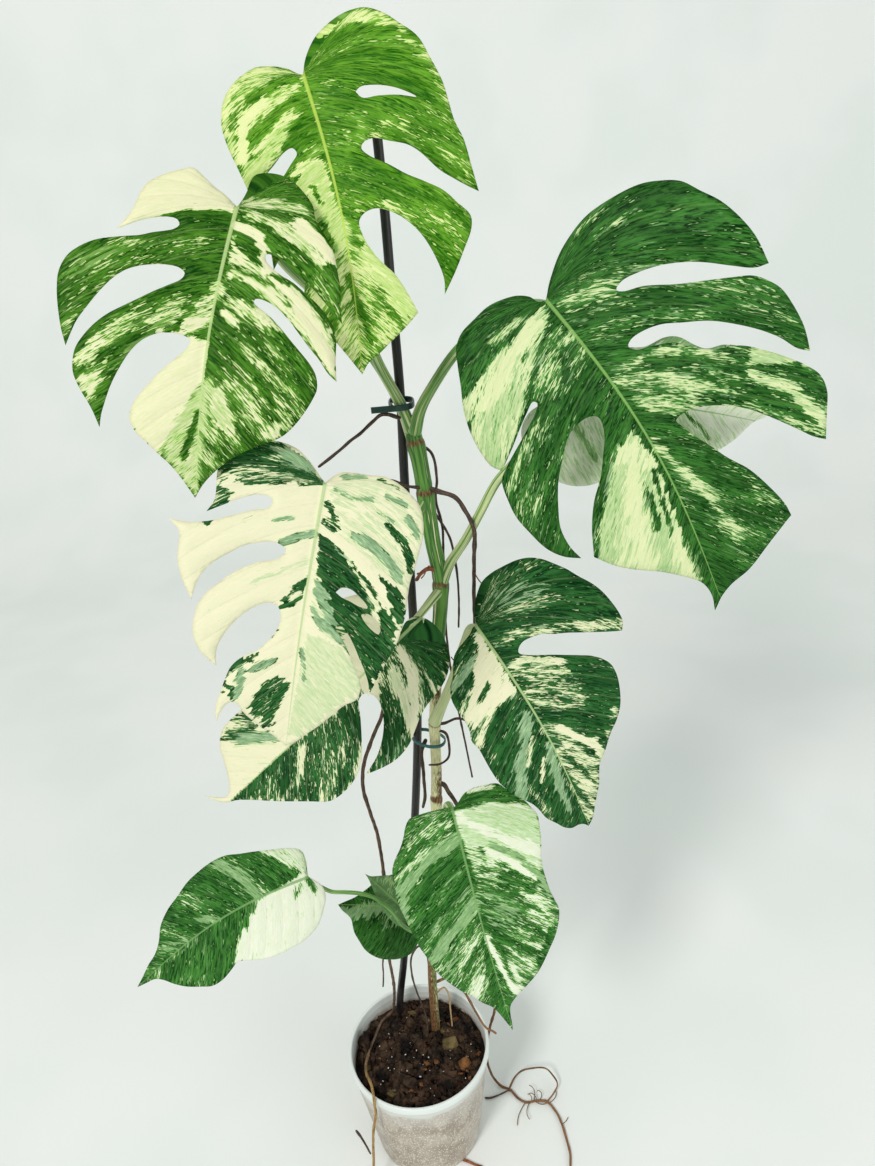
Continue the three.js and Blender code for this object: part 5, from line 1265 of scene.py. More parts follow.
def leaf_piece(key, order, finish):
    """One blade as a closed sheet: upper and lower surface joined round the margins.

    The surfaces stand off the blade's relief by half its thickness, which fades towards the
    margin. The midrib is a low crest between two grooves above, and a round keel below.
    """
    leaf = LEAVES[key]
    loops = blade_loops(leaf)
    points, faces = blade_net(leaf, loops)
    across, down = points.T
    beside = across - midrib_offset(leaf, down)
    length = blade_length(leaf)
    along = np.clip(down / length, 0, 1)
    margin = nearest(points, loops)
    q, out, steep = vein_grain(beside, down)
    size = length / MIDDLE_LENGTH

    middle = blade_relief(beside, q, out, margin, size, order)
    half = EDGE_THICKNESS + (HALF_THICKNESS - EDGE_THICKNESS) * ease(margin / 2)
    rib = (2.0 - 1.6 * along) * size * ease((margin + 1.5) / 4)
    crest = 0.5 * rib * bell(beside, 0.5 * rib + 0.2) - 0.28 * rib * bell(np.abs(beside) - 2.4, 1.2)
    keel = np.sqrt(np.clip(rib**2 - beside**2, 0, None))
    normal = blade_normals(leaf, across, down)
    base = blade_points(leaf, across, down)
    upper = base + (middle + half + crest)[:, None] * normal
    lower = base + (middle - half - keel)[:, None] * normal

    count = len(points)
    sheet = closed_sheet(faces, count, free_edges(faces, count))
    shares = laid_marks(key, points, fraying(beside, q, out, steep, order))
    one_side = {
        "cream": shares[:, 0], "sage": shares[:, 1], "across": beside, "along": along,
        "vein": q / (VEIN_SPACING * size),
    }
    attributes = {name: np.tile(values, 2) for name, values in one_side.items()}
    attributes["under"] = np.repeat([0.0, 1.0], count)
    grain = np.stack([q + GRAIN_APART * order, np.where(beside < 0, -out, out)], 1)
    uv = np.tile(grain, (2, 1))[sheet.ravel()]
    return new_piece(f"blade_{key}", np.vstack([upper, lower]), sheet, f"leaf_{key}", finish,
        attributes, uv)


# Round pieces that follow a path

# Distances from a tube's end to its end rings, as shares of its radius
CAP_RINGS = np.array([0.0, 0.04, 0.15, 0.35, 0.65])
# The least that a ring's corners stand off the path, as a share of the radius
LEAST_RING = 0.02


def carried_frames(middle):
    """Two unit directions across the path at each point, carried along it so that they turn as
    little as they can: each is the one before it, with its part along the path taken out."""
    tangent = unit(np.gradient(middle, axis=0))
    first = np.cross(tangent[0], np.eye(3)[np.argmin(np.abs(tangent[0]))])
    sides = []
    for direction in tangent:
        first = unit(first - first.dot(direction) * direction)
        sides.append(first)
    sides = np.array(sides)
    return sides, np.cross(tangent, sides)


def tube_piece(name, path, radius, finish, node, step=3.0, sides=14, shape=None, shares=None):
    """A round body along the smooth curve through `path`, closed at both ends.

    Each ring's corners stand `radius` from the curve, times shape(distance, angle, length)
    where it is given, and the last rings at each end close in a half circle. `shares` gives
    the attributes by name, from the same three values.
    """
    curve = smooth_curve(path)
    total = reaches(curve)[-1]
    cap = radius * CAP_RINGS
    inner = np.linspace(radius, total - radius, max(3, round(total / step)))
    along = np.concatenate([cap, inner, total - cap[::-1]])
    middle = at_distances(curve, along)
    one, two = carried_frames(middle)
    angle = np.linspace(0, 2 * np.pi, sides, endpoint=False)
    far, turn = np.meshgrid(along, angle, indexing="ij")
    left = np.minimum(far, total - far)
    cap_share = np.sqrt(np.clip(1 - (1 - np.minimum(left / radius, 1)) ** 2, 0.0, 1))
    stand = radius * np.maximum(cap_share, LEAST_RING)
    if shape:
        stand = stand * shape(far, turn, total)
    points = (
        middle[:, None]
        + (stand * np.cos(turn))[..., None] * one[:, None]
        + (stand * np.sin(turn))[..., None] * two[:, None]
    ).reshape(-1, 3)
    points = np.vstack([points, middle[:1], middle[-1:]])
    faces, corners = closed_grid(len(along), sides)
    ring, side = corners.reshape(-1, 2).T
    wrapped = np.stack([side * 2 * np.pi * radius / sides, along[ring]], axis=1)
    layers = {"along": far / total, **(shares(far, turn, total) if shares else {})}
    attributes = {
        key: np.concatenate([share.ravel(), share[0, :1], share[-1, :1]])
        for key, share in layers.items()
    }
    return new_piece(name, points, faces, node, finish, attributes, wrapped)


def stalk_finish(name, green, deep, pale):
    """Ribbed leaf stalk: green with pale stripes along it, more of them where cream is high."""
    finish = Finish(name, roughness=0.42)
    stripe = finish.streaks(0.4, 1 / 120, rough=0.6, twist=0.2)
    streak = finish.streaks(1.2, 1 / 20, (5, 2))
    field = finish.ramp(stripe, 0.33, 0.67, level=False)
    on = finish.ramp(finish.less(finish.attribute("cream"), field), -0.12, 0.14)
    base = finish.blend(finish.ramp(streak, 0.35, 0.65), deep, green)
    edge = finish.blend(finish.ramp(streak, 0.3, 0.7, 0.0, 0.35), pale, green)
    finish.colour(finish.blend(on, base, edge))
    finish.height([(stripe, 0.25), (streak, 0.08)])
    return finish.material


def root_finish(name, dark, light, rubbed, bump):
    """Bark-like root: fine lengthwise cracks and crossing rings, and the colour `rubbed` over
    its last part."""
    finish = Finish(name, roughness=0.78, gloss=0.3)
    crack = finish.streaks(0.9, 1 / 9, detail=4.0, rough=0.65)
    ring = finish.streaks(0.2, 1 / 1.6, (4, 0))
    worn = finish.math("MULTIPLY_ADD", ring, 0.4, crack)
    skin = finish.blend(finish.ramp(worn, 0.55, 0.85), dark, light)
    old = finish.blend(finish.ramp(worn, 0.5, 0.85, 0.25, 1.0), dark, rubbed)
    finish.colour(finish.blend(finish.ramp(finish.attribute("along"), 0.7, 0.8), skin, old))
    finish.height([(crack, bump), (ring, bump * 0.7)])
    return finish.material


def stem_finish():
    """Climbing stem: striped green, cream where the cream share is high, and brown and papery
    where the scar share is."""
    finish = Finish("stem_skin", roughness=0.5, gloss=0.3)
    stripe = finish.streaks(0.35, 1 / 70, detail=3.0, rough=0.6, twist=0.3)
    fleck = finish.streaks(0.7, 1 / 6, (8, 3), detail=3.0, rough=0.7)
    field = finish.ramp(stripe, 0.34, 0.66, level=False)
    on = finish.ramp(finish.less(finish.attribute("cream"), field), -0.1, 0.14)
    green = finish.blend(finish.ramp(stripe, 0.4, 0.6), shade(48, 100, 38), shade(108, 158, 72))
    pale = finish.blend(finish.ramp(fleck, 0.3, 0.7), shade(206, 200, 146), shade(238, 234, 190))
    skin = finish.blend(on, green, pale)
    scar = finish.ramp(finish.less(finish.attribute("scar"), fleck), -0.24, 0.12)
    brown = finish.blend(finish.ramp(fleck, 0.35, 0.7), shade(70, 50, 34), shade(160, 118, 78))
    finish.colour(finish.blend(scar, skin, brown))
    finish.height([(stripe, 0.35), (fleck, 0.3)])
    return finish.material


def stake_finish():
    """Coated steel stake: near-black satin with faint runs and dust."""
    finish = Finish("stake_coat", roughness=0.4)
    dust = finish.noise(finish.scaled(finish.place(), (1, 1, 0.2)), 160, 3.0, 0.6)
    finish.colour(finish.blend(finish.ramp(dust, 0.4, 0.75), shade(24, 22, 23), shade(50, 46, 45)))
    finish.roughness(finish.ramp(dust, 0.3, 0.7, 0.32, 0.5))
    finish.height([(dust, 0.08)])
    return finish.material


# The pot

# Corners of the pot's rings and of its drain holes
POT_ROUND = 144
HOLE_ROUND = 24


def pot_finish():
    """Frosted soft plastic: the mix shows through the wall as grey-beige with fine pale specks,
    and the band over the mix and the lip are clearer and paler."""
    finish = Finish("frosted_plastic", roughness=0.34, gloss=0.4)
    place = finish.place()
    cloud = finish.noise(finish.scaled(place, (1, 1, 0.8)), 60, 4.0, 0.6, 0.4)
    wisp = finish.noise(finish.scaled(place, (1, 1, 0.35)), 260, 3.0, 0.7, 0.8)
    grit = finish.cells(place, 430)
    above = finish.attribute("above")
    seen = finish.blend(finish.ramp(cloud, 0.35, 0.68), shade(146, 133, 117), shade(180, 170, 155))
    seen = finish.blend(finish.ramp(wisp, 0.55, 0.66, 0.0, 0.6), seen, shade(212, 204, 190))
    seen = finish.blend(finish.ramp(grit, 0.34, 0.2, 0.0, 0.8), seen, shade(232, 228, 216))
    seen = finish.blend(finish.ramp(above, -34.0, -4.0, 0.0, 0.45), seen, shade(206, 203, 196))
    mix_line = finish.math("MULTIPLY_ADD", cloud, 9.0, above)
    band = finish.blend(finish.ramp(mix_line, 1.0, 6.0), seen, shade(206, 209, 204))
    finish.colour(finish.blend(finish.ramp(above, 5.0, 7.0), band, shade(222, 228, 224)))
    finish.shader.inputs["Subsurface Weight"].default_value = 0.2
    finish.shader.inputs["Subsurface Radius"].default_value = (1.0, 0.95, 0.9)
    finish.shader.inputs["Subsurface Scale"].default_value = 0.004
    finish.height([(cloud, 0.06), (wisp, 0.03)])
    return finish.material


def pot_outer(height):
    """Radius of the pot's outside below its rim: an even taper."""
    taper = (POT_RIM_RADIUS - RIM_BAND_DEPTH - POT_BASE_RADIUS) / (POT_HEIGHT - RIM_BAND_HEIGHT)
    return POT_BASE_RADIUS + taper * height


def lathed(profile, count):
    """Points of a profile of [radius, height] turned round +Z, ring after ring."""
    angle = np.linspace(0, 2 * np.pi, count, endpoint=False)
    radius, height = np.array(profile, float).T
    return np.stack([
        radius[:, None] * np.cos(angle),
        radius[:, None] * np.sin(angle),
        np.repeat(height[:, None], count, 1),
    ], axis=2).reshape(-1, 3)


def arc_profile(radius, height, size, angles):
    """Points of a profile on an arc of a given size about a centre, from straight out up."""
    return [(radius + size * math.cos(a), height + size * math.sin(a)) for a in angles]


def pot_profile(foot):
    """The wall as [radius, height]: up the outside from the rounded foot, over the rim band
    and its half round lip, and down the inside to the floor."""
    band = POT_HEIGHT - RIM_BAND_HEIGHT
    half_lip = (POT_WALL + RIM_BAND_DEPTH) / 2
    up = np.linspace(POT_FOOT_RADIUS + 4, band - 2, 16)
    down = np.linspace(band - 1, POT_FLOOR + 4, 14)
    round_foot = np.linspace(-np.pi / 2, 0, 5)
    over = np.linspace(0, np.pi, 9)
    return [
        *arc_profile(foot, POT_FOOT_RADIUS, POT_FOOT_RADIUS, round_foot),
        *((pot_outer(height), height) for height in up),
        (pot_outer(band) - 0.3, band - 0.6),
        (POT_RIM_RADIUS - 0.9, band + 0.2),
        (POT_RIM_RADIUS - 0.2, band + 1.4),
        (POT_RIM_RADIUS, band + 3),
        *arc_profile(POT_RIM_RADIUS - half_lip, POT_HEIGHT - half_lip, half_lip, over),
        *((pot_outer(height) - POT_WALL, height) for height in down),
        (foot, POT_FLOOR),
    ]


def pot_piece():
    """The pot: a lathed wall with a rolled lip, closed by a floor plate with drain holes."""
    foot = POT_BASE_RADIUS - POT_FOOT_RADIUS
    profile = pot_profile(foot)
    wall = lathed(profile, POT_ROUND)
    wall_faces = as_index(wall_corners(len(profile), POT_ROUND), POT_ROUND)

    angle = (np.arange(DRAIN_HOLE_COUNT) + 0.5) * 2 * np.pi / DRAIN_HOLE_COUNT
    centres = DRAIN_HOLE_RING * np.stack([np.cos(angle), np.sin(angle)], 1)
    hole = lathed([(DRAIN_HOLE_RADIUS, 0.0)], HOLE_ROUND)[:, :2]
    loops = [lathed([(foot, 0.0)], POT_ROUND)[:, :2], *(hole + centre for centre in centres)]
    flat, plate = filled(loops, np.zeros((0, 2)))
    count = len(flat)
    edges = free_edges(plate, count)
    round_holes = edges[np.hypot(*flat[edges].mean(1).T) < foot - 1]
    floor_faces = closed_sheet(plate, count, round_holes) + len(wall)

    under = np.column_stack([flat, np.zeros(count)])
    over = np.column_stack([flat, np.full(count, POT_FLOOR)])
    points = np.vstack([wall, under, over])
    above = points[:, 2] - SOIL_TOP
    piece = new_piece("nursery_pot", points, np.vstack([wall_faces, floor_faces]), "pot",
        pot_finish(), {"above": above})
    join_seams(piece)
    return piece


def join_seams(piece):
    """Joins the points that two parts of a piece share, so that it is one closed surface."""
    work = bmesh.new()
    work.from_mesh(piece.data)
    bmesh.ops.remove_doubles(work, verts=work.verts, dist=0.01 * MM)
    work.to_mesh(piece.data)
    work.free()


# The growing mix

# Corners of the mix's rings
SOIL_ROUND = 96
# How high the middle of the mix stands over SOIL_TOP
MOUND = 1.5


def bark_finish(name, dark, light):
    """Coarse bark: layered brown with fibres, darker in its cracks."""
    finish = Finish(name, roughness=0.92, gloss=0.2)
    place = finish.place()
    layer = finish.noise(finish.scaled(place, (1, 1, 2.5)), 190, 5.0, 0.7, 0.6)
    lump = finish.noise(place, 75, 2.0, 0.5)
    share = finish.math("MULTIPLY_ADD", lump, 0.6, finish.math("MULTIPLY", layer, 0.5))
    finish.colour(finish.blend(finish.ramp(share, 0.42, 0.72), dark, light))
    finish.height([(layer, 1.2)])
    return finish.material


def soil_surface(radius):
    """Height of the mix above the pot's base at a distance from the middle: a low mound."""
    return SOIL_TOP + MOUND - (SOIL_CROWN + 1.0) * ease(radius / 66)


def soil_inner(height):
    """Radius of the mix against the pot's wall, with a little room."""
    return pot_outer(height) - POT_WALL - 0.6


def soil_piece(finish):
    """The plug of mix under the bark: a lathed body whose top is made rough by three sines."""
    side = [(soil_inner(height), height) for height in np.linspace(6, SOIL_TOP - SOIL_CROWN, 12)]
    top = [(radius, float(soil_surface(radius))) for radius in np.linspace(63, 3, 21)]
    profile = [(soil_inner(0) - 4, SOIL_BOTTOM), *side, *top]
    points = lathed(profile, SOIL_ROUND)
    x, y, z = points.T
    rough = np.sin(x * 0.31) * np.sin(y * 0.37 + 1) + 0.6 * np.sin(x * 0.83 + y * 0.6)
    z = z + np.where(z > SOIL_TOP - SOIL_CROWN, 1.3 * rough, 0)
    z = np.where(np.hypot(x, y) > 60, np.minimum(z, SOIL_TOP), z)
    points = np.vstack([np.stack([x, y, z], 1), [0, 0, SOIL_BOTTOM], [0, 0, SOIL_TOP + MOUND]])
    faces, _ = closed_grid(len(profile), SOIL_ROUND)
    return new_piece("growing_mix", points, faces, "soil", finish)


def lump_shape(rings, sides):
    """A unit ball as a few rings of points with a point at each end."""
    tilt = np.linspace(-np.pi / 2, np.pi / 2, rings + 2)[1:-1]
    turn = np.linspace(0, 2 * np.pi, sides, endpoint=False)
    low, around = np.meshgrid(tilt, turn, indexing="ij")
    ball = np.stack([np.cos(low) * np.cos(around), np.cos(low) * np.sin(around), np.sin(low)], 2)
    points = np.vstack([ball.reshape(-1, 3), [0, 0, -1], [0, 0, 1]])
    faces, _ = closed_grid(rings, sides)
    return points, faces


def scatter_piece(name, finish, seed, count, size, flat, spread, lift, boxy=0.45):
    """Many rough chips on the mix, as one mesh.

    Each chip is a ball pressed towards a box (each coordinate to the power `boxy`, keeping its
    sign), with uneven corners, its own size and turn, at an even random place in a disc. `size`
    is the least and greatest length, `flat` the same of the height as a share of the length.
    """
    rng = np.random.default_rng(seed)
    ball, faces = lump_shape(3, 6)
    corner = pressed(ball, boxy) * (1 + 0.18 * rng.standard_normal((count, len(ball), 3)))
    length = rng.uniform(*size, count)
    scale = np.stack([length, length * rng.uniform(0.45, 0.85, count),
        length * rng.uniform(*flat, count)], 1) / 2
    corner = corner * scale[:, None]
    turn = rng.uniform(0, 2 * np.pi, (count, 1))
    lean = rng.normal(0, 0.5, (count, 1))
    tip = rng.normal(0, 0.5, (count, 1))
    x, y, z = corner.transpose(2, 0, 1)
    y, z = spun(y, z, tip)
    x, z = spun(x, z, lean)
    x, y = spun(x, y, turn)
    reach = spread * np.sqrt(rng.uniform(0, 1, count))
    way = rng.uniform(0, 2 * np.pi, count)
    place = np.stack([reach * np.cos(way), reach * np.sin(way), soil_surface(reach) + lift], 1)
    points = np.stack([x, y, z], 2) + place[:, None]
    index = faces[None] + (np.arange(count) * len(ball))[:, None, None]
    piece = new_piece(name, points.reshape(-1, 3), index.reshape(-1, 3), None, finish)
    piece.data.shade_flat()
    return piece


def chunk_piece(key, finish):
    """One large piece of bark: a ball pressed towards a box, its faces rippled by two sines."""
    centre, half, degrees = BARK[key]
    ball, faces = lump_shape(14, 20)
    x, y, z = ball.T
    ripple = 1 + 0.09 * np.sin(7 * z + 4 * x) + 0.07 * np.sin(9 * x - 5 * y + 3)
    x, y, z = (pressed(ball, 0.6) * ripple[:, None] * np.array(half) * 0.98).T
    points = np.stack([*spun(x, y, math.radians(degrees)), z], 1) + np.array(centre)
    return new_piece(f"{key}_chunk", points, faces, key, finish)


# The clip and the tie

# Height of each band's lower edge, and its path seen from above
CLIP_LEVEL = 763
CLIP_PATH = [[27, -17.2], [38, -17.3], [49, -17.2], [54.3, -12.7], [55.7, -4], [53.8, 4.5], [47, 9],
    [41.6, 8.6], [39.2, -5], [41.4, -15]]
TIE_LEVEL = 489
TIE_PATH = [[28, 0], [30.5, -7.5], [42.3, -17.2], [51.6, -17.2], [55.2, -10], [51.4, -1.5],
    [39.8, 7.2], [31.4, 7.4], [28, 0]]
# Step along a band, and corners of its section
STRAP_STEP = 0.8
STRAP_SIDES = 16


def strap_finish(name, colour, worn, roughness):
    """Moulded soft plastic with a fine grain and slightly paler rubbed places."""
    finish = Finish(name, roughness=roughness)
    place = finish.place()
    fine = finish.noise(place, 900, 3.0, 0.6)
    rubbed = finish.noise(place, 120, 2.0)
    finish.colour(finish.blend(finish.ramp(rubbed, 0.45, 0.75), colour, worn))
    finish.height([(fine, 0.05)])
    return finish.material


def strap_piece(name, path, level, wide, thick, node, finish, closed):
    """A flat band on edge: a rounded bar carried along a level path, `wide` high and `thick`
    through. Its section is an ellipse pressed towards a box."""
    line = evenly(path, STRAP_STEP)
    if closed:
        line = line[:-1]
    ahead = np.roll(line, -1, 0) - np.roll(line, 1, 0) if closed else np.gradient(line, axis=0)
    ahead = unit(ahead)
    out = np.stack([-ahead[:, 1], ahead[:, 0]], 1)
    turn = np.linspace(0, 2 * np.pi, STRAP_SIDES, endpoint=False)
    across = thick / 2 * pressed(np.cos(turn), 0.5)
    high = wide / 2 * pressed(np.sin(turn), 0.5)
    middle = level + wide / 2
    flat = line[:, None] + across[None, :, None] * out[:, None]
    heights = np.broadcast_to(middle + high, flat.shape[:2])
    points = np.concatenate([flat, heights[..., None]], 2).reshape(-1, 3)
    if closed:
        corners = wall_corners(len(line) + 1, STRAP_SIDES)
        faces = as_index(corners, STRAP_SIDES) % len(points)
    else:
        faces, _ = closed_grid(len(line), STRAP_SIDES)
        points = np.vstack([points, [*line[0], middle], [*line[-1], middle]])
    return new_piece(name, points, faces, node, finish)


# The blades

GROWN = leaf_finish("grown_blade", deep=shade(0, 42, 4), fresh=shade(62, 122, 48),
    sage=shade(140, 174, 124), light=shade(146, 188, 116), cream=shade(216, 222, 174),
    rib=shade(132, 176, 96), underside=shade(120, 156, 104))
LUSH = leaf_finish("lush_blade", deep=shade(2, 54, 0), fresh=shade(80, 136, 38),
    sage=shade(134, 174, 92), light=shade(166, 202, 112), cream=shade(228, 224, 188),
    rib=shade(184, 208, 138), underside=shade(130, 162, 100))
SOFT = leaf_finish("soft_blade", deep=shade(0, 52, 6), fresh=shade(72, 134, 56),
    sage=shade(152, 188, 132), light=shade(166, 206, 130), cream=shade(230, 232, 214),
    rib=shade(120, 162, 98), underside=shade(124, 158, 108))
PALE = leaf_finish("pale_blade", deep=shade(0, 42, 14), fresh=shade(52, 108, 52),
    sage=shade(156, 188, 144), light=shade(196, 214, 158), cream=shade(228, 223, 192),
    rib=shade(176, 200, 140), underside=shade(196, 208, 160))
FRESH = leaf_finish("fresh_blade", deep=shade(20, 84, 0), fresh=shade(104, 162, 44),
    sage=shade(148, 190, 96), light=shade(176, 210, 110), cream=shade(224, 228, 168),
    rib=shade(182, 210, 90), underside=shade(140, 170, 100))
LEAF_LOOKS = {"top": FRESH, "left": LUSH, "heart": SOFT, "low_left": SOFT, "middle": PALE,
    "behind_right": SOFT, "behind_middle": PALE, "right_low": PALE}

for order, key in enumerate(LEAVES):
    leaf_piece(key, order, LEAF_LOOKS.get(key, GROWN))

# The stalks

STALK_GREEN = stalk_finish("stalk_skin", shade(116, 162, 78), shade(72, 122, 50),
    shade(206, 212, 160))
# Each stalk ends so far down its blade's midrib, and so many radii off its middle surface: under
# the blade, except the curled one's, which meets the side that shows
STALK_REACH = 5.0
STALK_DEPTH = -0.35
FRONT_DEPTH = 0.5
FRONT_STALK = "small_curled"


def blade_anchor(key, away):
    """The stalk's end on a blade's midrib, moved off its middle surface by `away`."""
    leaf = LEAVES[key]
    down = np.array([STALK_REACH])
    across = midrib_offset(leaf, down)
    point = blade_points(leaf, across, down) + away * blade_normals(leaf, across, down)
    return point[0].tolist()


def swollen(far, turn, total):
    """Stalk outline: sheathed foot, even middle, and a knee just before the blade."""
    foot = 0.28 * bell(far, 18)
    knee = 0.16 * bell(total - far - 12, 9)
    ridge = 0.035 * np.cos(3 * turn + far / 60) + 0.02 * np.cos(7 * turn)
    return (1 - 0.2 * far / total) * (1 + foot + knee + ridge)


def even_cream(share):
    """The attributes of a stalk that is equally striped all along."""
    return lambda far, turn, total: {"cream": np.full_like(far, share)}


for key, (radius, pale, path) in STALKS.items():
    away = (FRONT_DEPTH if key == FRONT_STALK else STALK_DEPTH) * radius
    tube_piece(f"petiole_{key}", [*path, blade_anchor(key, away)], radius, STALK_GREEN,
        f"stalk_{key}", step=2.5, sides=18, shape=swollen, shares=even_cream(pale))

# The stem and the stake

# Heights of the stem's rings
STEM_NODES = (236, 276, 374, 430, 506, 572, 628, 700, 736)


def stem_height(far, total):
    """Height above the pot's base at a distance along the stem, which is nearly upright."""
    return STEM[0][2] + (STEM[-1][2] - STEM[0][2]) * far / total


def stem_outline(far, turn, total):
    """Stem outline: thinner towards its foot, with a low swelling and a groove at each ring."""
    height = stem_height(far, total)
    outline = 0.94 - 0.22 * ease((620 - height) / 120) + 0.03 * np.cos(2 * turn + far / 50)
    for ring in STEM_NODES:
        outline = outline + 0.13 * bell(height - ring, 7) - 0.1 * bell(height - ring - 5, 1.6)
    return outline


def stem_shares(far, turn, total):
    """Green at the top, cream with brown sheaths at the tie, and greenish brown at the foot."""
    height = stem_height(far, total)
    cream = 0.12 + 0.95 * ease((590 - height) / 50) - 0.75 * ease((400 - height) / 80)
    cream = cream + 0.3 * bell(height - 140, 20)
    side = 0.5 + 0.5 * np.sin(turn + height / 90)
    scar = 0.55 * side * (bell(height - 545, 22) + bell(height - 446, 26)) + 0.1
    scar = scar + (0.35 + 0.5 * side) * ease((350 - height) / 60)
    for ring in STEM_NODES:
        scar = scar + 0.5 * bell(height - ring - 3, 3)
    return {"cream": cream, "scar": scar}


def stake_outline(far, turn, total):
    """Stake outline: an even taper."""
    return 0.94 - 0.16 * far / total


tube_piece("climbing_stem", STEM, STEM_RADIUS, stem_finish(), "stem", step=1.5,
    sides=28, shape=stem_outline, shares=stem_shares)
tube_piece("steel_stake", STAKE, STAKE_RADIUS, stake_finish(), "stake", step=4,
    sides=24, shape=stake_outline)

# The roots

ROOT_LOOKS = {
    "dark": root_finish("dark_root", shade(48, 38, 33), shade(98, 80, 68), shade(92, 76, 64), 0.25),
    "hanging": root_finish("hanging_root", shade(66, 50, 40), shade(112, 90, 72),
        shade(176, 142, 84), 0.25),
    "red": root_finish("red_root", shade(104, 58, 36), shade(164, 102, 70), shade(104, 58, 36), 0.3),
    "brown": root_finish("brown_root", shade(84, 58, 40), shade(140, 104, 72),
        shade(150, 108, 74), 0.2),
    "pale": root_finish("pale_root", shade(150, 122, 84), shade(206, 180, 138),
        shade(206, 180, 138), 0.2),
}
ROOT_KINDS = {
    "root_left_hanging": "hanging", "root_red": "red", "root_floor": "brown",
    "root_floor_loop": "brown", "root_floor_stub": "dark", "root_under_pot": "red",
    "root_pale": "pale", "root_right_rim": "brown",
}
# Fine rootlets: kind, where each one starts, which way it heads, its length and its curl. The
# brown ones lie on the ground.
ROOTLETS = [
    ["brown", [112, 13, 2], [6, 12, 6], 20, 1.9], ["brown", [116, 14, 2], [-4, 10, 10], 16, 2.6],
    ["brown", [108, 13, 2], [-6, -10, 2], 22, 1.2], ["brown", [104, 14, 2], [-10, -12, 0], 28, 0.7],
    ["brown", [114, 13, 2], [8, -10, 4], 18, 2.2], ["brown", [118, 14, 2], [10, 8, 4], 14, 3.0],
    ["brown", [128, 10, 2], [12, 6, 1], 18, 1.5], ["brown", [110, 13, 2], [2, 8, 12], 14, 3.2],
    ["brown", [138, -14, 2], [8, 4, 1], 10, 0.8], ["brown", [96, 20, 2], [-6, 10, 1], 14, 1.4],
    ["dark", [-15, 9, 262], [-3, 1, -12], 26, 0.5], ["red", [88, -17, 640], [4, -1, -10], 20, 0.8],
    ["dark", [66, 2, 560], [5, 1, -10], 22, 0.7], ["red", [57, -13, 644], [-4, -5, 7], 10, 1.6],
    ["red", [53, -14, 643], [-3, 3, -9], 11, 1.4], ["red", [50, -13, 641], [-6, -4, 3], 9, 1.8],
]
ROOTLET_RADIUS = 0.45
ROOTLET_STEPS = 8
# How low a rootlet's middle line may come to the ground
LEAST_HEIGHT = 0.8


def knobbly(far, turn, total):
    """Root outline: tapers to three quarters, with uneven swellings along it."""
    swell = 0.08 * np.sin(far / 3.1) * np.sin(far / 7.3 + turn) + 0.05 * np.sin(far / 1.7 + 2 * turn)
    knots = 0.22 * np.maximum(np.sin(far / 9.7 + 1.3) * np.sin(far / 4.3), 0) ** 2
    return (1 - 0.25 * far / total) * (1 + swell + knots)


def rootlet_path(start, heading, length, curl):
    """A curling line: its heading turns about +Z by `curl` radians over its length, faster
    towards its end, and its climb fades out."""
    way = unit(np.array(heading, float))
    share = np.linspace(0, 1, ROOTLET_STEPS + 1)
    turn = math.atan2(way[1], way[0]) + curl * share**1.5
    flat = np.hypot(way[0], way[1])
    steps = np.stack([flat * np.cos(turn), flat * np.sin(turn), way[2] * (1 - 0.8 * share)], 1)
    walked = np.cumsum(steps[:-1], axis=0) * length / ROOTLET_STEPS
    points = np.array(start, float) + np.vstack([np.zeros(3), walked])
    points[:, 2] = np.maximum(points[:, 2], LEAST_HEIGHT)
    return points


for key, (radius, path) in ROOTS.items():
    tube_piece(f"aerial_{key}", path, radius, ROOT_LOOKS[ROOT_KINDS.get(key, "dark")], key,
        step=1.4, sides=10, shape=knobbly)
for number, (kind, *route) in enumerate(ROOTLETS, 1):
    tube_piece(f"rootlet_{number}", rootlet_path(*route), ROOTLET_RADIUS, ROOT_LOOKS[kind], None,
        step=1.2, sides=6)

# The pot and its mix

pot_piece()
MIX = bark_finish("bark_mix_skin", shade(16, 12, 10), shade(66, 46, 34))
DARK_BARK = bark_finish("dark_bark", shade(18, 14, 12), shade(82, 62, 46))
OCHRE_BARK = bark_finish("ochre_bark", shade(84, 54, 30), shade(152, 104, 62))
GREEN_BARK = bark_finish("green_bark", shade(62, 54, 34), shade(122, 106, 68))
PERLITE = bark_finish("perlite", shade(206, 200, 190), shade(238, 235, 228))
soil_piece(MIX)
scatter_piece("bark_chips", DARK_BARK, seed=11, count=300, size=(5, 14), flat=(0.25, 0.6),
    spread=61, lift=1.6)
scatter_piece("bark_crumbs", MIX, seed=12, count=1100, size=(1.5, 5), flat=(0.35, 0.85),
    spread=62, lift=2.8)
scatter_piece("ochre_chips", OCHRE_BARK, seed=13, count=16, size=(4, 9), flat=(0.3, 0.5),
    spread=59, lift=2.4)
scatter_piece("green_chips", GREEN_BARK, seed=14, count=12, size=(5, 10), flat=(0.4, 0.7),
    spread=58, lift=2.2)
scatter_piece("perlite_grains", PERLITE, seed=15, count=110, size=(0.6, 2.0), flat=(0.6, 0.9),
    spread=56, lift=3.2, boxy=0.8)
BARK_LOOKS = {"bark_slab": MIX, "bark_by_stem": GREEN_BARK, "bark_front": DARK_BARK,
    "bark_right": OCHRE_BARK}
for key in BARK:
    chunk_piece(key, BARK_LOOKS[key])

strap_piece("plant_strap", CLIP_PATH, CLIP_LEVEL, 4.4, 1.4, "clip",
    strap_finish("strap_plastic", shade(10, 52, 46), shade(28, 78, 68), 0.38), False)
strap_piece("wire_tie", TIE_PATH, TIE_LEVEL, 2.9, 1.3, "twist_tie",
    strap_finish("tie_plastic", shade(34, 92, 94), shade(72, 134, 132), 0.5), True)

# The camera, the room and the light

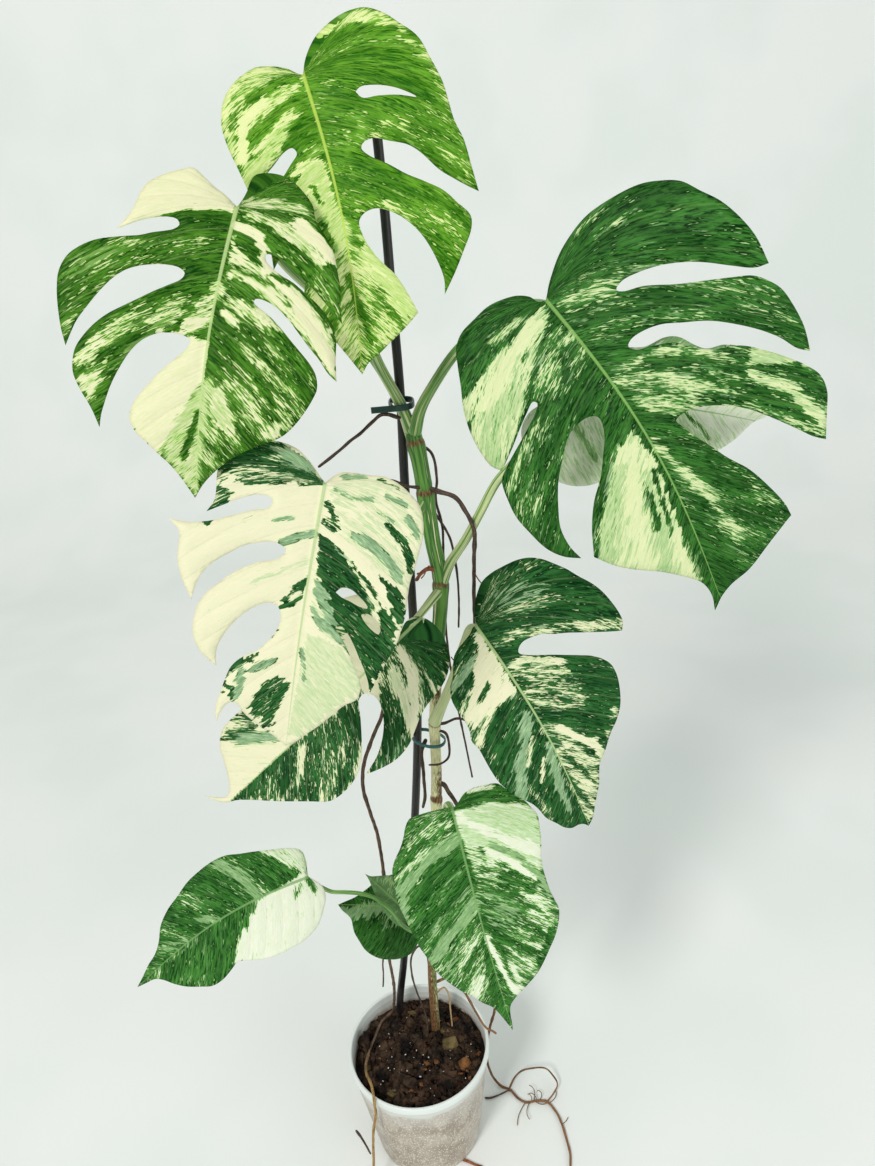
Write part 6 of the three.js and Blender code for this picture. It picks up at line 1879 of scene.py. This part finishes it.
PITCH = math.radians(24.8)
ROLL = math.radians(5.27)
# The sensor's height, and the focal length as a share of the picture's height
SENSOR_HEIGHT = 36.0
FOCAL_SHARE = 876 / 1166
# The room: how far its floor reaches to the viewer and to each side, where its wall stands and
# how high, and the bend between them. The floor lies a hair under the pot.
ROOM_FRONT = -4000
ROOM_SIDE = 5000.0
ROOM_WALL = 2200
ROOM_HEIGHT = 4000
ROOM_BEND = 700
FLOOR_GAP = 0.2


def place_object(data, name, right, up, back, place):
    """A camera or a light at a place in metres, turned to the three given directions."""
    turn = np.eye(4)
    turn[:3, :3] = np.column_stack([right, up, back])
    turn[:3, 3] = np.array(place, float)
    thing = bpy.data.objects.new(name, data)
    thing.matrix_world = Matrix(turn.tolist())
    bpy.context.scene.collection.objects.link(thing)
    return thing


def make_camera():
    """The view of the photograph: looking along +Y and down by the pitch, then rolled."""
    forward = np.array([0, math.cos(PITCH), -math.sin(PITCH)])
    level = np.array([1.0, 0, 0])
    down = np.cross(forward, level)
    right = math.cos(ROLL) * level + math.sin(ROLL) * down
    below = math.cos(ROLL) * down - math.sin(ROLL) * level
    data = bpy.data.cameras.new("viewer")
    data.sensor_fit = "VERTICAL"
    data.sensor_height = SENSOR_HEIGHT
    data.lens = FOCAL_SHARE * SENSOR_HEIGHT
    data.clip_start = 0.01
    bpy.context.scene.camera = place_object(data, "viewer", right, -below, -forward, EYE * MM)


def make_room():
    """A pale floor that curves up into a pale wall, far enough behind the plant to look at it
    from the back."""
    turn = np.linspace(0, np.pi / 2, 25)
    depth = np.array([ROOM_FRONT, *(ROOM_WALL - ROOM_BEND + ROOM_BEND * np.sin(turn)), ROOM_WALL])
    height = np.array([0, *(ROOM_BEND - ROOM_BEND * np.cos(turn)), ROOM_HEIGHT]) - FLOOR_GAP
    width = np.tile([-ROOM_SIDE, ROOM_SIDE], len(depth))
    points = np.stack([width, np.repeat(depth, 2), np.repeat(height, 2)], 1)
    row = np.arange(len(depth) - 1) * 2
    faces = np.stack([row, row + 1, row + 3, row + 2], 1)
    finish = Finish("room_paint", roughness=0.9, gloss=0.2)
    fog = finish.ramp(finish.noise(finish.place(), 3.0, 2.0), 0.35, 0.65)
    finish.colour(finish.blend(fog, shade(233, 238, 235), shade(240, 242, 240)))
    mesh = bpy.data.meshes.new("room")
    mesh.from_pydata((points * MM).tolist(), [], faces.tolist())
    mesh.shade_smooth()
    mesh.materials.append(finish.material)
    room = bpy.data.objects.new("room", mesh)
    bpy.context.scene.collection.objects.link(room)


def make_light(name, place, target, size, power, colour):
    """A square soft light that looks from a place at a target, both in metres."""
    data = bpy.data.lights.new(name, "AREA")
    data.size = size
    data.energy = power
    data.color = colour
    back = unit(np.subtract(place, target))
    right = unit(np.cross([0, 0, 1], back))
    place_object(data, name, right, np.cross(back, right), back, place)


make_camera()
make_room()
make_light("key", (-1.6, -3.0, 3.3), (0.0, 0.0, 0.55), 0.9, 105, (1.0, 0.985, 0.95))
make_light("fill", (2.4, -2.0, 1.4), (0.3, 0.0, 0.4), 1.8, 26, (0.95, 0.98, 1.0))
world = bpy.data.worlds.new("soft_sky")
world.use_nodes = True
world.node_tree.nodes["Background"].inputs["Color"].default_value = (0.97, 1.0, 0.98, 1.0)
world.node_tree.nodes["Background"].inputs["Strength"].default_value = 0.52
bpy.context.scene.world = world
bpy.context.scene.view_settings.view_transform = "Standard"
